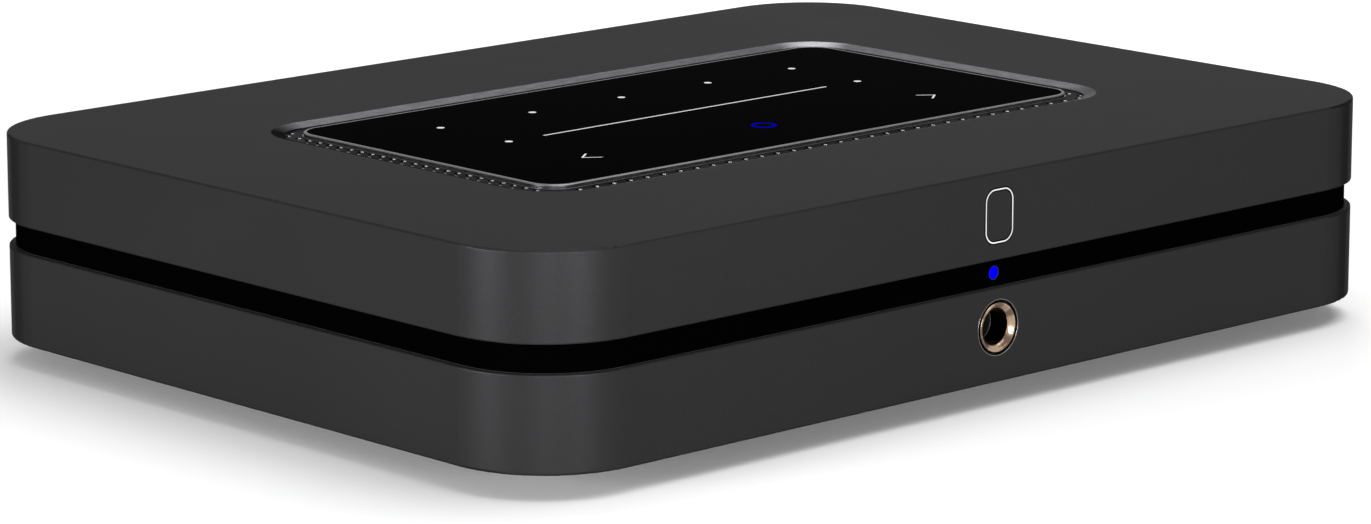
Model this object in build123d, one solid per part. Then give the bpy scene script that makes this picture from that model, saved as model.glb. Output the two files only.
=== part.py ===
"""Network music streamer: two aluminium casings round a black waist band, with a touch panel in the top.

Millimetres, +Z up, origin on the surface it stands on, under the middle of the body. The front faces -Y.
"""

import os

from build123d import *

# Overall body
body_width = 220.0
body_depth = 160.0
corner_radius = 20.0
foot_height = 4.5
lower_height = 17.3
band_height = 5.2
upper_height = 16.0
wall = 2.5
top_thickness = 3.0
floor_thickness = 2.5
top_edge_radius = 0.4
bottom_edge_radius = 0.5
rim_edge_radius = 0.2
overrun = 1.0
fit = 0.1

# Waist band between the casings
band_inset = 1.25
band_ring = 2.55
band_lip_height = 2.0

# Rubber feet, set into shallow pockets
foot_radius = 9.0
foot_pocket = 1.0
foot_edge_radius = 1.2
foot_corner_offset = 25.0

# Long casing screws and the posts that they join
post_radius = 4.0
post_corner_offset = 12.0
screw_radius = 1.5
screw_clearance = 0.2
screw_head_radius = 2.75
screw_head_height = 2.4
screw_drive = 2.0
screw_drive_depth = 1.2
casing_screw_length = 20.0
casing_screw_recess = 2.5
corner_boss_height = 2.0
casing_screw_recess_radius = 3.3
corner_web_reach = 9.0
corner_web_thickness = 3.0
corner_web_drop = 0.3

# Slots for cooling air in the floor
air_slot_width = 2.0
air_slot_length = 22.0
air_slot_pitch = 6.0
air_slot_count = 12
air_slot_row_shares = (0.24, 0.60)

# Touch panel glass in its bezel
glass_width = 134.0
glass_depth = 71.0
glass_radius = 5.0
glass_thickness = 0.9
bezel_rim = 0.6
bezel_chamfer = 0.15
bezel_foot_height = 0.2
bezel_foot_reach = 0.25
bezel_groove_height = 0.15
bezel_groove_depth = 0.25

# Recess round the touch panel
moat_width = 6.0
recess_slope_width = 2.4
recess_lip = 0.3

# Perforated vent strip in the recess
grille_thickness = 1.0
grille_border = 4.5
grille_ledge = 6.0
hole_radius = 0.65
hole_columns = 35
hole_rows = 26
hole_margin = 0.05

# Carrier frame that holds the vent strip up
carrier_thickness = 1.5
carrier_flange = 8.0
carrier_corner_radius = 4.0
carrier_rib_width = 2.5
carrier_screw_radius = 1.0
carrier_screw_depth = 2.0
carrier_screw_head_radius = 1.9
carrier_screw_head_height = 1.3

# Marks on the glass
mark_depth = 0.1
dot_radius = 0.75
dot_pitch = 22.7
preset_dots = 5
preset_row = 19.6
slider_row = 0.9
slider_length = 73.0
slider_width = 0.5
side_dot_reach = 45.0
control_row = -19.6
arrow_reach = 44.0
arrow_width = 3.4
arrow_height = 4.4
arrow_stroke = 0.6
ring_radius = 2.4
ring_stroke = 0.6

# Touch sensor board and its flat cable
sensor_margin = 1.0
sensor_thickness = 1.0
flex_width = 12.0
flex_thickness = 0.25
flex_bend = 3.0
flex_run = 12.0

# Plain rounded frame let into the front of the upper casing
badge_width = 6.8
badge_height = 9.6
badge_radius = 2.2
badge_line = 0.35
badge_groove = 0.7
badge_depth = 0.3

# Status light in the band
light_radius = 1.2
light_length = 3.0
led_width = 3.0
led_depth = 1.2
led_height = 2.6

# Headphone socket in the front of the lower casing
socket_radius = 3.2
socket_rise = 10.1
trim_outer_radius = 5.25
trim_ring = 0.3
trim_length = 1.2
ferrule_radius = 4.55
ferrule_face = 0.3
ferrule_length = 5.0
funnel_depth = 0.65
jack_width = 15.0
jack_height = 13.0
jack_length = 30.0
jack_bore_length = 24.0
contact_width = 3.0
contact_thickness = 0.4
contact_count = 3
contact_pitch = 6.5

# Headphone board on top of the socket
headphone_board_width = 40.0
headphone_board_depth = 30.0
headphone_post_radius = 3.0
headphone_post_reach = 16.0
ribbon_width = 14.0
ribbon_thickness = 0.5
ribbon_bend = 3.0
ribbon_room = 17.1

# Rear panel: a plate set back from the rear edge of the casings, with a frame round it
panel_side = 22.0
panel_height = 28.0
panel_corner = 3.0
panel_thickness = 1.5
panel_recess = 10.0
panel_sill = 2.5
port_fit = 0.15
port_proud = 0.5
panel_post_width = 5.0
panel_post_depth = 7.0
panel_post_height = 15.0
panel_screw_rise = 8.5

# Circuit boards and the posts that carry them
board_thickness = 1.6
board_post_height = 5.0
board_post_radius = 3.2
board_gap = 1.0
board_side_gap = 8.5
machine_screw_length = 6.0
main_board_panel_side = 9.0
main_board_panel_gap = 0.5
main_board_post_shares = ((0.033, 0.04), (0.967, 0.04), (0.033, 0.72), (0.967, 0.72))
power_board_width = 49.0
power_board_depth = 96.0
power_board_panel_gap = 5.5
power_board_post_shares = ((0.08, 0.05), (0.92, 0.05), (0.08, 0.92), (0.92, 0.92))

# Figure-eight mains inlet
inlet_width = 24.0
inlet_height = 15.0
inlet_length = 22.0
inlet_place_share = 0.5
inlet_lobe_radius = 4.0
inlet_pin_pitch = 6.6
inlet_pin_radius = 1.15
inlet_depth = 13.0
inlet_pin_length = 10.5
inlet_edge_radius = 1.0

# Network socket
network_width = 16.0
network_height = 13.5
network_length = 21.0
network_place_share = 0.07
network_mouth_width = 11.8
network_mouth_height = 8.2
network_mouth_rise = 3.4
network_depth = 15.0
network_latch_width = 5.0
network_latch_height = 2.0
network_contact_count = 8
network_contact_pitch = 1.05
network_contact_width = 0.5
network_contact_height = 0.6
network_contact_length = 9.0

# USB and HDMI sockets
shell_sheet = 0.4
usb_width = 13.2
usb_height = 5.8
usb_length = 14.0
usb_place_share = 0.205
hdmi_width = 15.0
hdmi_height = 5.6
hdmi_length = 12.0
hdmi_chamfer = 1.6
hdmi_place_share = 0.344
tongue_thickness = 1.6
tongue_side_gap = 0.8
tongue_base = 3.0
tongue_setback = 1.0

# Optical output with its sprung shutter
optical_width = 12.0
optical_height = 13.6
optical_length = 15.4
optical_place_share = 0.476
optical_mouth = 8.6
optical_mouth_rise = 1.8
optical_frame = 1.6
optical_depth = 13.4
optical_ceiling = 2.4
emitter_radius = 2.0
emitter_length = 0.8
shutter_gap = 0.2
shutter_thickness = 0.8
shutter_overlap = 0.6
shutter_pin_radius = 0.5
shutter_pin_clearance = 0.06
shutter_knuckle_radius = 0.95
shutter_knuckle_share = 0.5
spring_wire_radius = 0.14
spring_coil_radius = 0.75
spring_turns = 4
spring_pitch = 0.45

# 3.5 mm sockets
minijack_width = 8.0
minijack_height = 7.0
minijack_length = 13.0
minijack_nose_radius = 3.3
minijack_radius = 1.8
minijack_bore_length = 11.5
minijack_place_shares = (0.574, 0.648, 0.722)

# Phono sockets, two by two in one block
phono_block_width = 27.0
phono_block_depth = 12.0
phono_place_share = 0.885
phono_pitch_x = 14.0
phono_pitch_z = 13.0
phono_rise = 5.4
phono_collar_radius = 5.2
phono_collar_proud = 1.0
phono_sleeve_radius = 4.15
phono_sleeve_wall = 0.75
phono_shank_step = 0.25
phono_sleeve_length = 8.5
phono_shank_length = 4.0
phono_insulator_setback = 0.8
phono_contact_radius = 1.9
phono_contact_bore = 1.6

# Parts on the main board
processor_size = 15.0
processor_height = 1.4
processor_place_shares = (0.37, 0.47)
sink_size = 32.0
sink_base = 2.0
sink_height = 9.0
sink_fin = 1.5
sink_fins = 8
memory_width = 11.0
memory_depth = 8.0
chip_height = 1.1
memory_place_shares = ((0.14, 0.39), (0.14, 0.54))
audio_chip_size = 7.0
audio_chip_place_shares = ((0.71, 0.62), (0.83, 0.62), (0.83, 0.45))
audio_capacitor_radius = 3.15
audio_capacitor_height = 7.7
audio_capacitor_row_share = 0.76
audio_capacitor_place_shares = (0.60, 0.68, 0.76, 0.84)
capacitor_edge_radius = 0.6
wireless_width = 18.0
wireless_depth = 22.0
wireless_height = 2.6
wireless_place_shares = (0.845, 0.165)
antenna_length = 30.0
antenna_height = 8.0
antenna_thickness = 0.8
antenna_side_share = -0.08
antenna_front_share = 0.52
lead_radius = 0.6
lead_bend = 3.0
lead_run = 14.0
lead_drop = 4.0
connector_width = 16.0
connector_depth = 4.0
connector_height = 4.0
connector_edge_gap = 2.0
flex_connector_place_shares = (0.60, 0.24)

# Parts on the power supply board
transformer_width = 28.0
transformer_depth = 26.0
transformer_height = 19.0
transformer_core_depth = 11.0
transformer_base_height = 3.0
transformer_inset = 3.0
transformer_place_shares = (0.35, 0.44)
mains_capacitor_radius = 9.0
mains_capacitor_height = 22.0
mains_capacitor_place_shares = (0.80, 0.65)
choke_width = 16.0
choke_depth = 18.0
choke_height = 15.0
choke_window = 6.0
choke_place_shares = (0.22, 0.71)
fuse_radius = 2.6
fuse_length = 20.0
fuse_cap_length = 5.0
fuse_cap_radius = 2.9
fuse_base_width = 6.0
fuse_base_height = 1.5
fuse_place_shares = (0.53, 0.71)
output_capacitor_radius = 5.0
output_capacitor_height = 16.0
output_capacitor_row_share = 0.17
output_capacitor_place_shares = (0.31, 0.55, 0.79)
power_sink_width = 10.0
power_sink_depth = 12.0
power_sink_height = 20.0
power_sink_web = 2.0
power_sink_fins = 4
power_sink_fin = 1.2
power_sink_place_shares = (0.82, 0.45)
plug_width = 8.0
plug_depth = 9.0
plug_height = 7.0
power_plug_place_shares = (0.90, 0.29)
main_plug_place_share = 0.05
wire_radius = 0.7
wire_pitch = 1.8
wire_count = 4
wire_rise = 8.0
wire_bend = 4.0

# Levels and faces that the pieces share
floor_level = foot_height + floor_thickness
lower_top = foot_height + lower_height
band_top = lower_top + band_height
band_middle = lower_top + band_height / 2
top_level = band_top + upper_height
ceiling = top_level - top_thickness
front_face = -body_depth / 2
rear_face = body_depth / 2
inner_front = front_face + wall
grille_top = top_level - glass_thickness
grille_base = grille_top - grille_thickness
lip_level = grille_top + recess_lip
bezel_width = glass_width + 2 * bezel_rim
bezel_depth = glass_depth + 2 * bezel_rim
bezel_radius = glass_radius + bezel_rim
recess_width = bezel_width + 2 * moat_width
recess_depth = bezel_depth + 2 * moat_width
recess_radius = bezel_radius + moat_width
strip_width = recess_width - 2 * recess_slope_width
strip_depth = recess_depth - 2 * recess_slope_width
strip_radius = recess_radius - recess_slope_width
grille_width = strip_width + 2 * grille_border
grille_depth = strip_depth + 2 * grille_border
grille_radius = strip_radius + grille_border
window_width = glass_width - 2 * grille_ledge
window_depth = glass_depth - 2 * grille_ledge
socket_level = foot_height + socket_rise
jack_top = socket_level + jack_height / 2
headphone_board_top = jack_top + board_thickness
board_level = floor_level + board_post_height
board_top = board_level + board_thickness
panel_width = body_width - 2 * panel_side
panel_outer = rear_face - panel_recess
panel_inner = panel_outer - panel_thickness
panel_base = floor_level + panel_sill
panel_middle = panel_base + panel_height / 2
port_face = panel_outer + port_proud
band_inner = band_inset + band_ring
main_board_back = panel_inner - main_board_panel_gap
headphone_board_front = front_face + band_inner + fit
headphone_board_back = headphone_board_front + headphone_board_depth
main_board_front = headphone_board_back + ribbon_room
main_board_depth = main_board_back - main_board_front
power_board_back = panel_inner - power_board_panel_gap
power_board_front = power_board_back - power_board_depth
boards_gap = panel_post_width + 2 * board_gap
power_board_left = board_side_gap + wall - body_width / 2
main_board_left = power_board_left + power_board_width + boards_gap
main_board_width = panel_width / 2 - main_board_panel_side - main_board_left
sensor_base = grille_top - sensor_thickness


def block(width, depth, low, high, x=0, y=0, radius=0):
    """An upright prism with rounded corners between two heights."""
    outline = RectangleRounded(width, depth, radius) if radius else Rectangle(width, depth)
    return Pos(x, y, low) * extrude(outline, high - low)


def post(radius, low, high, x=0, y=0):
    """An upright round post between two heights."""
    return Pos(x, y, low) * extrude(Circle(radius), high - low)


def bar(width, height, front, back, x, z, radius=0):
    """A bar lying along Y between its front and its back."""
    outline = RectangleRounded(width, height, radius) if radius else Rectangle(width, height)
    return Pos(x, back, z) * Rot(90, 0, 0) * extrude(outline, back - front)


def rod(radius, front, back, x, z):
    """A round rod lying along Y between its front and its back."""
    return Pos(x, back, z) * Rot(90, 0, 0) * extrude(Circle(radius), back - front)


def cross_rod(radius, left, right, y, z):
    """A round rod lying along X."""
    return Pos(left, y, z) * Rot(0, 90, 0) * extrude(Circle(radius), right - left)


def group(shapes):
    """Separate solids that share one node."""
    return Compound([solid for shape in shapes for solid in shape.solids()])


def on_main_board(shares):
    """The place on the main board that two shares of its size give."""
    return main_board_left + shares[0] * main_board_width, main_board_front + shares[1] * main_board_depth


def on_power_board(shares):
    """The place on the power supply board that two shares of its size give."""
    return power_board_left + shares[0] * power_board_width, power_board_front + shares[1] * power_board_depth


def corner_places(offset):
    """Four places the same distance in from both outer faces at each corner."""
    x, y = body_width / 2 - offset, body_depth / 2 - offset
    return [(x, y), (-x, y), (-x, -y), (x, -y)]


def body_prism(inset, low, high):
    """The body's outline drawn in by an inset, between two heights."""
    return block(body_width - 2 * inset, body_depth - 2 * inset, low, high, radius=corner_radius - inset)


def rear_opening(clearance, front, back):
    """The opening in the rear wall that the rear panel shows through."""
    size = 2 * clearance
    return bar(panel_width + size, panel_height + size, front, back, 0, panel_middle, panel_corner + clearance)


def board_places():
    """Where the screws hold the two large boards."""
    main = [on_main_board(shares) for shares in main_board_post_shares]
    return main + [on_power_board(shares) for shares in power_board_post_shares]


def headphone_places():
    """Where the screws hold the headphone board."""
    y = headphone_board_back - board_post_radius
    return [(-headphone_post_reach, y), (headphone_post_reach, y)]


def panel_screw_places():
    """Where the two screws hold the rear panel: between the boards, and past the main board."""
    x = power_board_left + power_board_width + boards_gap / 2
    return [x, main_board_left + main_board_width + boards_gap / 2]


def upper_casing():
    shell = body_prism(0, band_top, top_level)
    shell = fillet(shell.faces().sort_by(Axis.Z)[-1].edges(), top_edge_radius)
    shell = fillet(shell.faces().sort_by(Axis.Z)[0].edges(), rim_edge_radius)
    shell -= body_prism(wall, band_top - overrun, ceiling)
    for x, y in corner_places(post_corner_offset):
        shell += post(post_radius, lower_top, ceiling + fit, x, y)
        shell -= post(screw_radius, lower_top - overrun, lower_top + casing_screw_length, x, y)
    slope_top = RectangleRounded(recess_width, recess_depth, recess_radius)
    slope_foot = RectangleRounded(strip_width, strip_depth, strip_radius)
    shell -= loft([Pos(0, 0, lip_level) * slope_foot, Pos(0, 0, top_level) * slope_top], ruled=True)
    shell -= block(strip_width, strip_depth, ceiling - overrun, lip_level + fit, radius=strip_radius)
    rebate = 2 * fit
    shell -= block(grille_width + rebate, grille_depth + rebate, ceiling - overrun, grille_top,
                   radius=grille_radius + fit)
    shell -= rear_opening(0, panel_inner, rear_face + overrun)
    for x, y in carrier_screw_places():
        shell -= post(carrier_screw_radius, ceiling - overrun, ceiling + carrier_screw_depth, x, y)
    return shell - badge_outline(badge_groove, overrun)


def badge_outline(line, proud):
    """A rounded frame of the given line width, sunk into the front face."""
    level = band_top + upper_height / 2
    half = line / 2
    outer = bar(badge_width + line, badge_height + line, front_face - proud, front_face + badge_depth, 0,
                level, badge_radius + half)
    inner = bar(badge_width - line, badge_height - line, front_face - proud - overrun,
                front_face + badge_depth + overrun, 0, level, badge_radius - half)
    return outer - inner


def lower_casing():
    """The lower walls, with a post for the casing screw webbed to them in each corner."""
    shell = body_prism(0, foot_height, lower_top)
    shell = fillet(shell.faces().sort_by(Axis.Z)[0].edges(), bottom_edge_radius)
    shell = fillet(shell.faces().sort_by(Axis.Z)[-1].edges(), rim_edge_radius)
    shell -= body_prism(wall, foot_height - overrun, lower_top + overrun)
    base = floor_level + corner_boss_height
    web_top = lower_top - band_lip_height - corner_web_drop
    for x, y in corner_places(post_corner_offset):
        web_middle = x + corner_web_reach / 2 if x > 0 else x - corner_web_reach / 2
        shell += post(post_radius, base, lower_top, x, y)
        shell += block(corner_web_reach, corner_web_thickness, base, web_top, web_middle, y)
        shell -= post(screw_radius + screw_clearance, base - overrun, lower_top + overrun, x, y)
    shell -= rear_opening(0, panel_inner + panel_thickness, rear_face + overrun)
    shell -= rod(trim_outer_radius - trim_ring, front_face - overrun, inner_front + overrun, 0, socket_level)
    return shell - rod(trim_outer_radius, front_face - overrun, front_face + trim_length, 0, socket_level)


def base_plate():
    """The floor of the body, with the posts for the boards and the pockets for the feet."""
    plate = body_prism(wall + fit, foot_height, floor_level)
    for x, y in corner_places(post_corner_offset):
        boss_top = floor_level + corner_boss_height
        plate += post(post_radius, floor_level - fit, boss_top, x, y)
        plate -= post(screw_radius + screw_clearance, foot_height, boss_top + overrun, x, y)
        plate -= post(casing_screw_recess_radius, foot_height - overrun, foot_height + casing_screw_recess, x, y)
    for x, y in corner_places(foot_corner_offset):
        plate -= post(foot_radius, foot_height - overrun, foot_height + foot_pocket, x, y)
    for x, y in board_places():
        plate += post(board_post_radius, floor_level - fit, board_level, x, y)
        plate -= post(screw_radius, floor_level, board_level + overrun, x, y)
    for x, y in headphone_places():
        plate += post(headphone_post_radius, floor_level - fit, jack_top, x, y)
        plate -= post(screw_radius, jack_top - machine_screw_length, jack_top + overrun, x, y)
    return plate - air_slots()


def air_slots():
    """Rows of slots that let cooling air in under the main board."""
    middle = main_board_left + main_board_width / 2
    slots = []
    for share in air_slot_row_shares:
        y = main_board_front + share * main_board_depth
        for index in range(air_slot_count):
            x = middle + (index - (air_slot_count - 1) / 2) * air_slot_pitch
            slots.append(block(air_slot_width, air_slot_length, foot_height - overrun, floor_level + overrun,
                               x, y, air_slot_width / 2 - fit))
    return slots


def waist_band():
    ring = body_prism(band_inset, lower_top, band_top)
    lip_low, lip_high = lower_top - band_lip_height, band_top + band_lip_height
    ring += body_prism(wall + fit, lip_low, lip_high)
    ring -= body_prism(band_inner, lip_low - overrun, lip_high + overrun)
    ring -= block(panel_width + 2 * panel_thickness + 2 * fit, body_depth, lip_low - overrun,
                  lip_high + overrun, 0, body_depth / 2)
    notch = jack_width + 2 * fit
    ring -= block(notch, body_depth / 2, lip_low - overrun, lower_top, 0, -body_depth / 2)
    return ring - rod(light_radius, front_face - overrun, front_face + body_depth / 4, 0, band_middle)


def rubber_feet():
    feet = []
    for x, y in corner_places(foot_corner_offset):
        foot = post(foot_radius, 0, foot_height + foot_pocket, x, y)
        feet.append(fillet(foot.faces().sort_by(Axis.Z)[0].edges(), foot_edge_radius))
    return group(feet)


def screw(radius, length, head_radius, head_height):
    """A screw standing with its head down at zero and its shank up, with a hexagonal drive."""
    shape = post(head_radius, 0, head_height) + post(radius, 0, head_height + length)
    drive = extrude(RegularPolygon(screw_drive / 2, 6), screw_drive_depth)
    return shape - drive


def casing_screws():
    head_base = foot_height + casing_screw_recess - screw_head_height
    length = lower_top + casing_screw_length - foot_height - casing_screw_recess
    one = screw(screw_radius, length, screw_head_radius, screw_head_height)
    return group([Pos(x, y, head_base) * one for x, y in corner_places(post_corner_offset)])


def machine_screws():
    """The short screws: in both large boards, the headphone board and the rear panel."""
    one = screw(screw_radius, machine_screw_length, screw_head_radius, screw_head_height)
    down = Rot(180, 0, 0) * one
    shapes = [Pos(x, y, board_top + screw_head_height) * down for x, y in board_places()]
    shapes += [Pos(x, y, headphone_board_top + screw_head_height) * down for x, y in headphone_places()]
    forward = Rot(90, 0, 0) * one
    level = floor_level + panel_screw_rise
    shapes += [Pos(x, panel_outer + screw_head_height, level) * forward for x in panel_screw_places()]
    return group(shapes)


def within(x, y, width, depth, radius):
    """True where a point lies inside a rounded rectangle."""
    over_x = max(abs(x) - width / 2 + radius, 0)
    over_y = max(abs(y) - depth / 2 + radius, 0)
    return over_x**2 + over_y**2 < radius**2


def vent_grille():
    """A plate with a window for the touch sensor and a staggered pattern of holes in the recess's floor."""
    outline = RectangleRounded(grille_width, grille_depth, grille_radius)
    outline -= Rectangle(window_width, window_depth)
    reach = hole_radius + hole_margin
    step_x = (strip_width / 2 - reach) / hole_columns
    step_y = (strip_depth / 2 - reach) / hole_rows
    places = []
    for column in range(-hole_columns, hole_columns + 1):
        for row in range(-hole_rows, hole_rows + 1):
            x, y = column * step_x, row * step_y
            shown = within(x, y, strip_width - 2 * hole_radius, strip_depth - 2 * hole_radius,
                           strip_radius - hole_radius)
            hidden = within(x, y, bezel_width + 2 * reach, bezel_depth + 2 * reach, bezel_radius + reach)
            if (column + row) % 2 == 0 and shown and not hidden:
                places.append((x, y))
    outline -= [Pos(x, y) * Circle(hole_radius) for x, y in places]
    return Pos(0, 0, grille_base) * extrude(outline, grille_thickness)


def carrier_screw_places():
    x = grille_width / 2 + carrier_flange / 2
    y = grille_depth / 2 + carrier_flange / 2
    return [(x, 0), (-x, 0), (x / 2, y), (-x / 2, y), (x / 2, -y), (-x / 2, -y)]


def touch_carrier():
    """A frame screwed up under the top, with a rib that presses the vent strip's border to the casing."""
    flange = 2 * carrier_flange
    base = ceiling - carrier_thickness
    frame = block(grille_width + flange, grille_depth + flange, base, ceiling, radius=carrier_corner_radius)
    frame += block(grille_width, grille_depth, ceiling, grille_base, radius=grille_radius)
    inner = 2 * carrier_rib_width
    frame -= block(grille_width - inner, grille_depth - inner, base - overrun, grille_base + overrun,
                   radius=grille_radius - carrier_rib_width)
    for x, y in carrier_screw_places():
        frame -= post(carrier_screw_radius, base - overrun, ceiling + overrun, x, y)
    return frame


def carrier_screws():
    base = ceiling - carrier_thickness - carrier_screw_head_height
    shank_top = ceiling + carrier_screw_depth
    shapes = []
    for x, y in carrier_screw_places():
        head = post(carrier_screw_head_radius, base, base + carrier_screw_head_height, x, y)
        shapes.append(head + post(carrier_screw_radius, base, shank_top, x, y))
    return group(shapes)


def touch_bezel():
    """A thin metal rim round the glass, with a shadow groove above its foot."""
    rim = block(bezel_width, bezel_depth, grille_top, top_level, radius=bezel_radius)
    rim = chamfer(rim.faces().sort_by(Axis.Z)[-1].edges(), bezel_chamfer)
    groove_low = grille_top + bezel_foot_height
    groove_high = groove_low + bezel_groove_height
    reach = 2 * bezel_foot_reach
    rim += block(bezel_width + reach, bezel_depth + reach, grille_top, groove_low,
                 radius=bezel_radius + bezel_foot_reach)
    groove = block(recess_width, recess_depth, groove_low, groove_high, radius=recess_radius)
    sunk = 2 * bezel_groove_depth
    groove -= block(bezel_width - sunk, bezel_depth - sunk, groove_low - overrun, groove_high + overrun,
                    radius=bezel_radius - bezel_groove_depth)
    rim -= groove
    return rim - block(glass_width, glass_depth, grille_top - overrun, top_level + overrun,
                       radius=glass_radius)


def dot(x, y):
    return post(dot_radius, top_level - mark_depth, top_level, x, y)


def arrow_head(side):
    """A chevron that points away from the middle of the panel."""
    x, y = arrow_width / 2, arrow_height / 2
    outline = Polyline(
        (-x, y), (arrow_stroke - x, y), (x, 0), (arrow_stroke - x, -y), (-x, -y), (x - arrow_stroke, 0),
        close=True,
    )
    shape = extrude(make_face(outline), mark_depth)
    turned = shape if side > 0 else mirror(shape, Plane.YZ)
    return Pos(side * arrow_reach, control_row, top_level - mark_depth) * turned


def touch_marks():
    """Preset dots, the volume slider with a dot at each end, and two arrow heads."""
    first = -(preset_dots - 1) / 2 * dot_pitch
    shapes = [dot(first + index * dot_pitch, preset_row) for index in range(preset_dots)]
    shapes += [dot(-side_dot_reach, slider_row), dot(side_dot_reach, slider_row)]
    shapes.append(block(slider_length, slider_width, top_level - mark_depth, top_level, 0, slider_row))
    return group(shapes + [arrow_head(-1), arrow_head(1)])


def play_ring():
    disc = post(ring_radius, top_level - mark_depth, top_level, 0, control_row)
    return disc - post(ring_radius - ring_stroke, grille_top, top_level + overrun, 0, control_row)


def touch_glass():
    glass = block(glass_width, glass_depth, grille_top, top_level, radius=glass_radius)
    return glass - touch_marks() - play_ring()


def touch_sensor_board():
    margin = 2 * sensor_margin
    return block(window_width - margin, window_depth - margin, sensor_base, grille_top)


def ribbon(points, thickness, bend, width):
    """A flat cable of even thickness along a path in the YZ plane, centred on X."""
    path = FilletPolyline(*[(0, y, z) for y, z in points], radius=bend)
    start = Plane(origin=path @ 0, z_dir=path % 0, x_dir=(1, 0, 0))
    return sweep(start * Rectangle(width, thickness), path)


def touch_flex_cable():
    x, y = on_main_board(flex_connector_place_shares)
    level = sensor_base - flex_thickness / 2
    points = [(y + flex_run, level), (y, level), (y, board_top + connector_height)]
    return Pos(x, 0, 0) * ribbon(points, flex_thickness, flex_bend, flex_width)


def headphone_connector_y():
    return headphone_board_back - connector_depth / 2


def headphone_ribbon():
    level = headphone_board_top + connector_height / 2
    down = main_board_front + connector_edge_gap + connector_depth / 2
    points = [(headphone_board_back, level), (down, level), (down, board_top + connector_height)]
    return ribbon(points, ribbon_thickness, ribbon_bend, ribbon_width)


def badge_frame():
    return badge_outline(badge_line, 0)


def status_light_pipe():
    front = front_face + band_inset
    pipe = rod(light_radius, front, front + light_length, 0, band_middle)
    return fillet(pipe.faces().sort_by(Axis.Y)[0].edges(), light_radius / 4)


def status_led():
    front = front_face + band_inset + light_length
    return block(led_width, led_depth, headphone_board_top, headphone_board_top + led_height, 0,
                 front + led_depth / 2)


def headphone_trim_ring():
    back = front_face + trim_length
    ring = rod(trim_outer_radius, front_face, back, 0, socket_level)
    return ring - rod(trim_outer_radius - trim_ring, front_face - overrun, back + overrun, 0, socket_level)


def headphone_ferrule():
    """The gold ring of the socket, flared at its mouth."""
    body = rod(ferrule_radius, front_face, front_face + ferrule_length, 0, socket_level)
    body -= rod(socket_radius, front_face - overrun, front_face + ferrule_length + overrun, 0, socket_level)
    flare = Cone(socket_radius, ferrule_radius - ferrule_face, funnel_depth)
    return body - Pos(0, front_face + funnel_depth / 2, socket_level) * Rot(90, 0, 0) * flare


def headphone_jack():
    """The body of the socket, with slots along the bore for its contact springs."""
    body = bar(jack_width, jack_height, inner_front, inner_front + jack_length, 0, socket_level)
    body -= rod(ferrule_radius, inner_front - overrun, front_face + ferrule_length, 0, socket_level)
    body -= rod(socket_radius, inner_front, inner_front + jack_bore_length, 0, socket_level)
    for shape in contact_bars(overrun):
        body -= shape
    return body


def contact_bars(extra):
    """The contact springs, seated in the socket's body below the bore."""
    low = socket_level - jack_height / 2 - extra
    high = socket_level - socket_radius - fit
    first = front_face + ferrule_length + contact_pitch
    return [block(contact_width, contact_thickness, low, high, 0, first + index * contact_pitch)
            for index in range(contact_count)]


def headphone_contacts():
    return group(contact_bars(0))


def headphone_board():
    front, back = headphone_board_front, headphone_board_back
    board = block(headphone_board_width, back - front, jack_top, headphone_board_top, 0, (front + back) / 2)
    for x, y in headphone_places():
        board -= post(screw_radius, jack_top - overrun, headphone_board_top + overrun, x, y)
    return board


def panel_blocks():
    """The threaded blocks on the floor that the rear panel is screwed to."""
    y = panel_inner - panel_post_depth / 2
    shapes = []
    for x in panel_screw_places():
        shape = block(panel_post_width, panel_post_depth, floor_level, floor_level + panel_post_height, x, y)
        shapes.append(shape - rod(screw_radius, panel_outer - machine_screw_length, panel_outer, x,
                                  floor_level + panel_screw_rise))
    return group(shapes)


def rear_frame():
    """The frame that fills the step between the rear panel and the rear wall of the casings."""
    rim = rear_face - wall
    return (rear_opening(panel_thickness, panel_outer, rim)
            - rear_opening(0, panel_outer - overrun, rim + overrun))


def panel_splits():
    """Where the rear panel is parted into a mains plate, a data plate and an audio plate."""
    mains = (inlet_x() + inlet_width / 2 + panel_screw_places()[0] - panel_post_width / 2) / 2
    audio = (optical_x() + optical_width / 2 + minijack_places()[0] - minijack_nose_radius) / 2
    return [mains, audio]


def rear_panel():
    """The three plates that carry the sockets, side by side."""
    plate = rear_opening(panel_thickness, panel_inner, panel_outer)
    for x in panel_screw_places():
        plate -= rod(screw_radius, panel_inner - overrun, panel_outer + overrun, x,
                     floor_level + panel_screw_rise)
    for x in panel_splits():
        plate -= bar(fit, 2 * panel_height, panel_inner - overrun, panel_outer + overrun, x, panel_middle)
    for cutter in port_cutters():
        plate -= cutter
    return plate


def port_cutters():
    """One hole in the rear panel for each socket, a little larger than the socket."""
    front, back = panel_inner - overrun, panel_outer + overrun
    gap = 2 * port_fit
    cutters = []
    for width, height, x in socket_sizes():
        cutters.append(bar(width + gap, height + gap, front, back, x, board_top + height / 2))
    for x in minijack_places():
        cutters.append(rod(minijack_nose_radius + port_fit, front, back, x, board_top + minijack_height / 2))
    for x, z in phono_places():
        cutters.append(rod(phono_collar_radius + port_fit, front, back, x, z))
    return cutters


def socket_sizes():
    """Width, height and place of each square socket in the rear panel."""
    return [
        (inlet_width, inlet_height, inlet_x()),
        (network_width, network_height, main_board_left + network_place_share * main_board_width),
        (usb_width, usb_height, main_board_left + usb_place_share * main_board_width),
        (hdmi_width, hdmi_height, main_board_left + hdmi_place_share * main_board_width),
        (optical_width, optical_height, optical_x()),
    ]


def inlet_x():
    return power_board_left + inlet_place_share * power_board_width


def optical_x():
    return main_board_left + optical_place_share * main_board_width


def minijack_places():
    return [main_board_left + share * main_board_width for share in minijack_place_shares]


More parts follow.
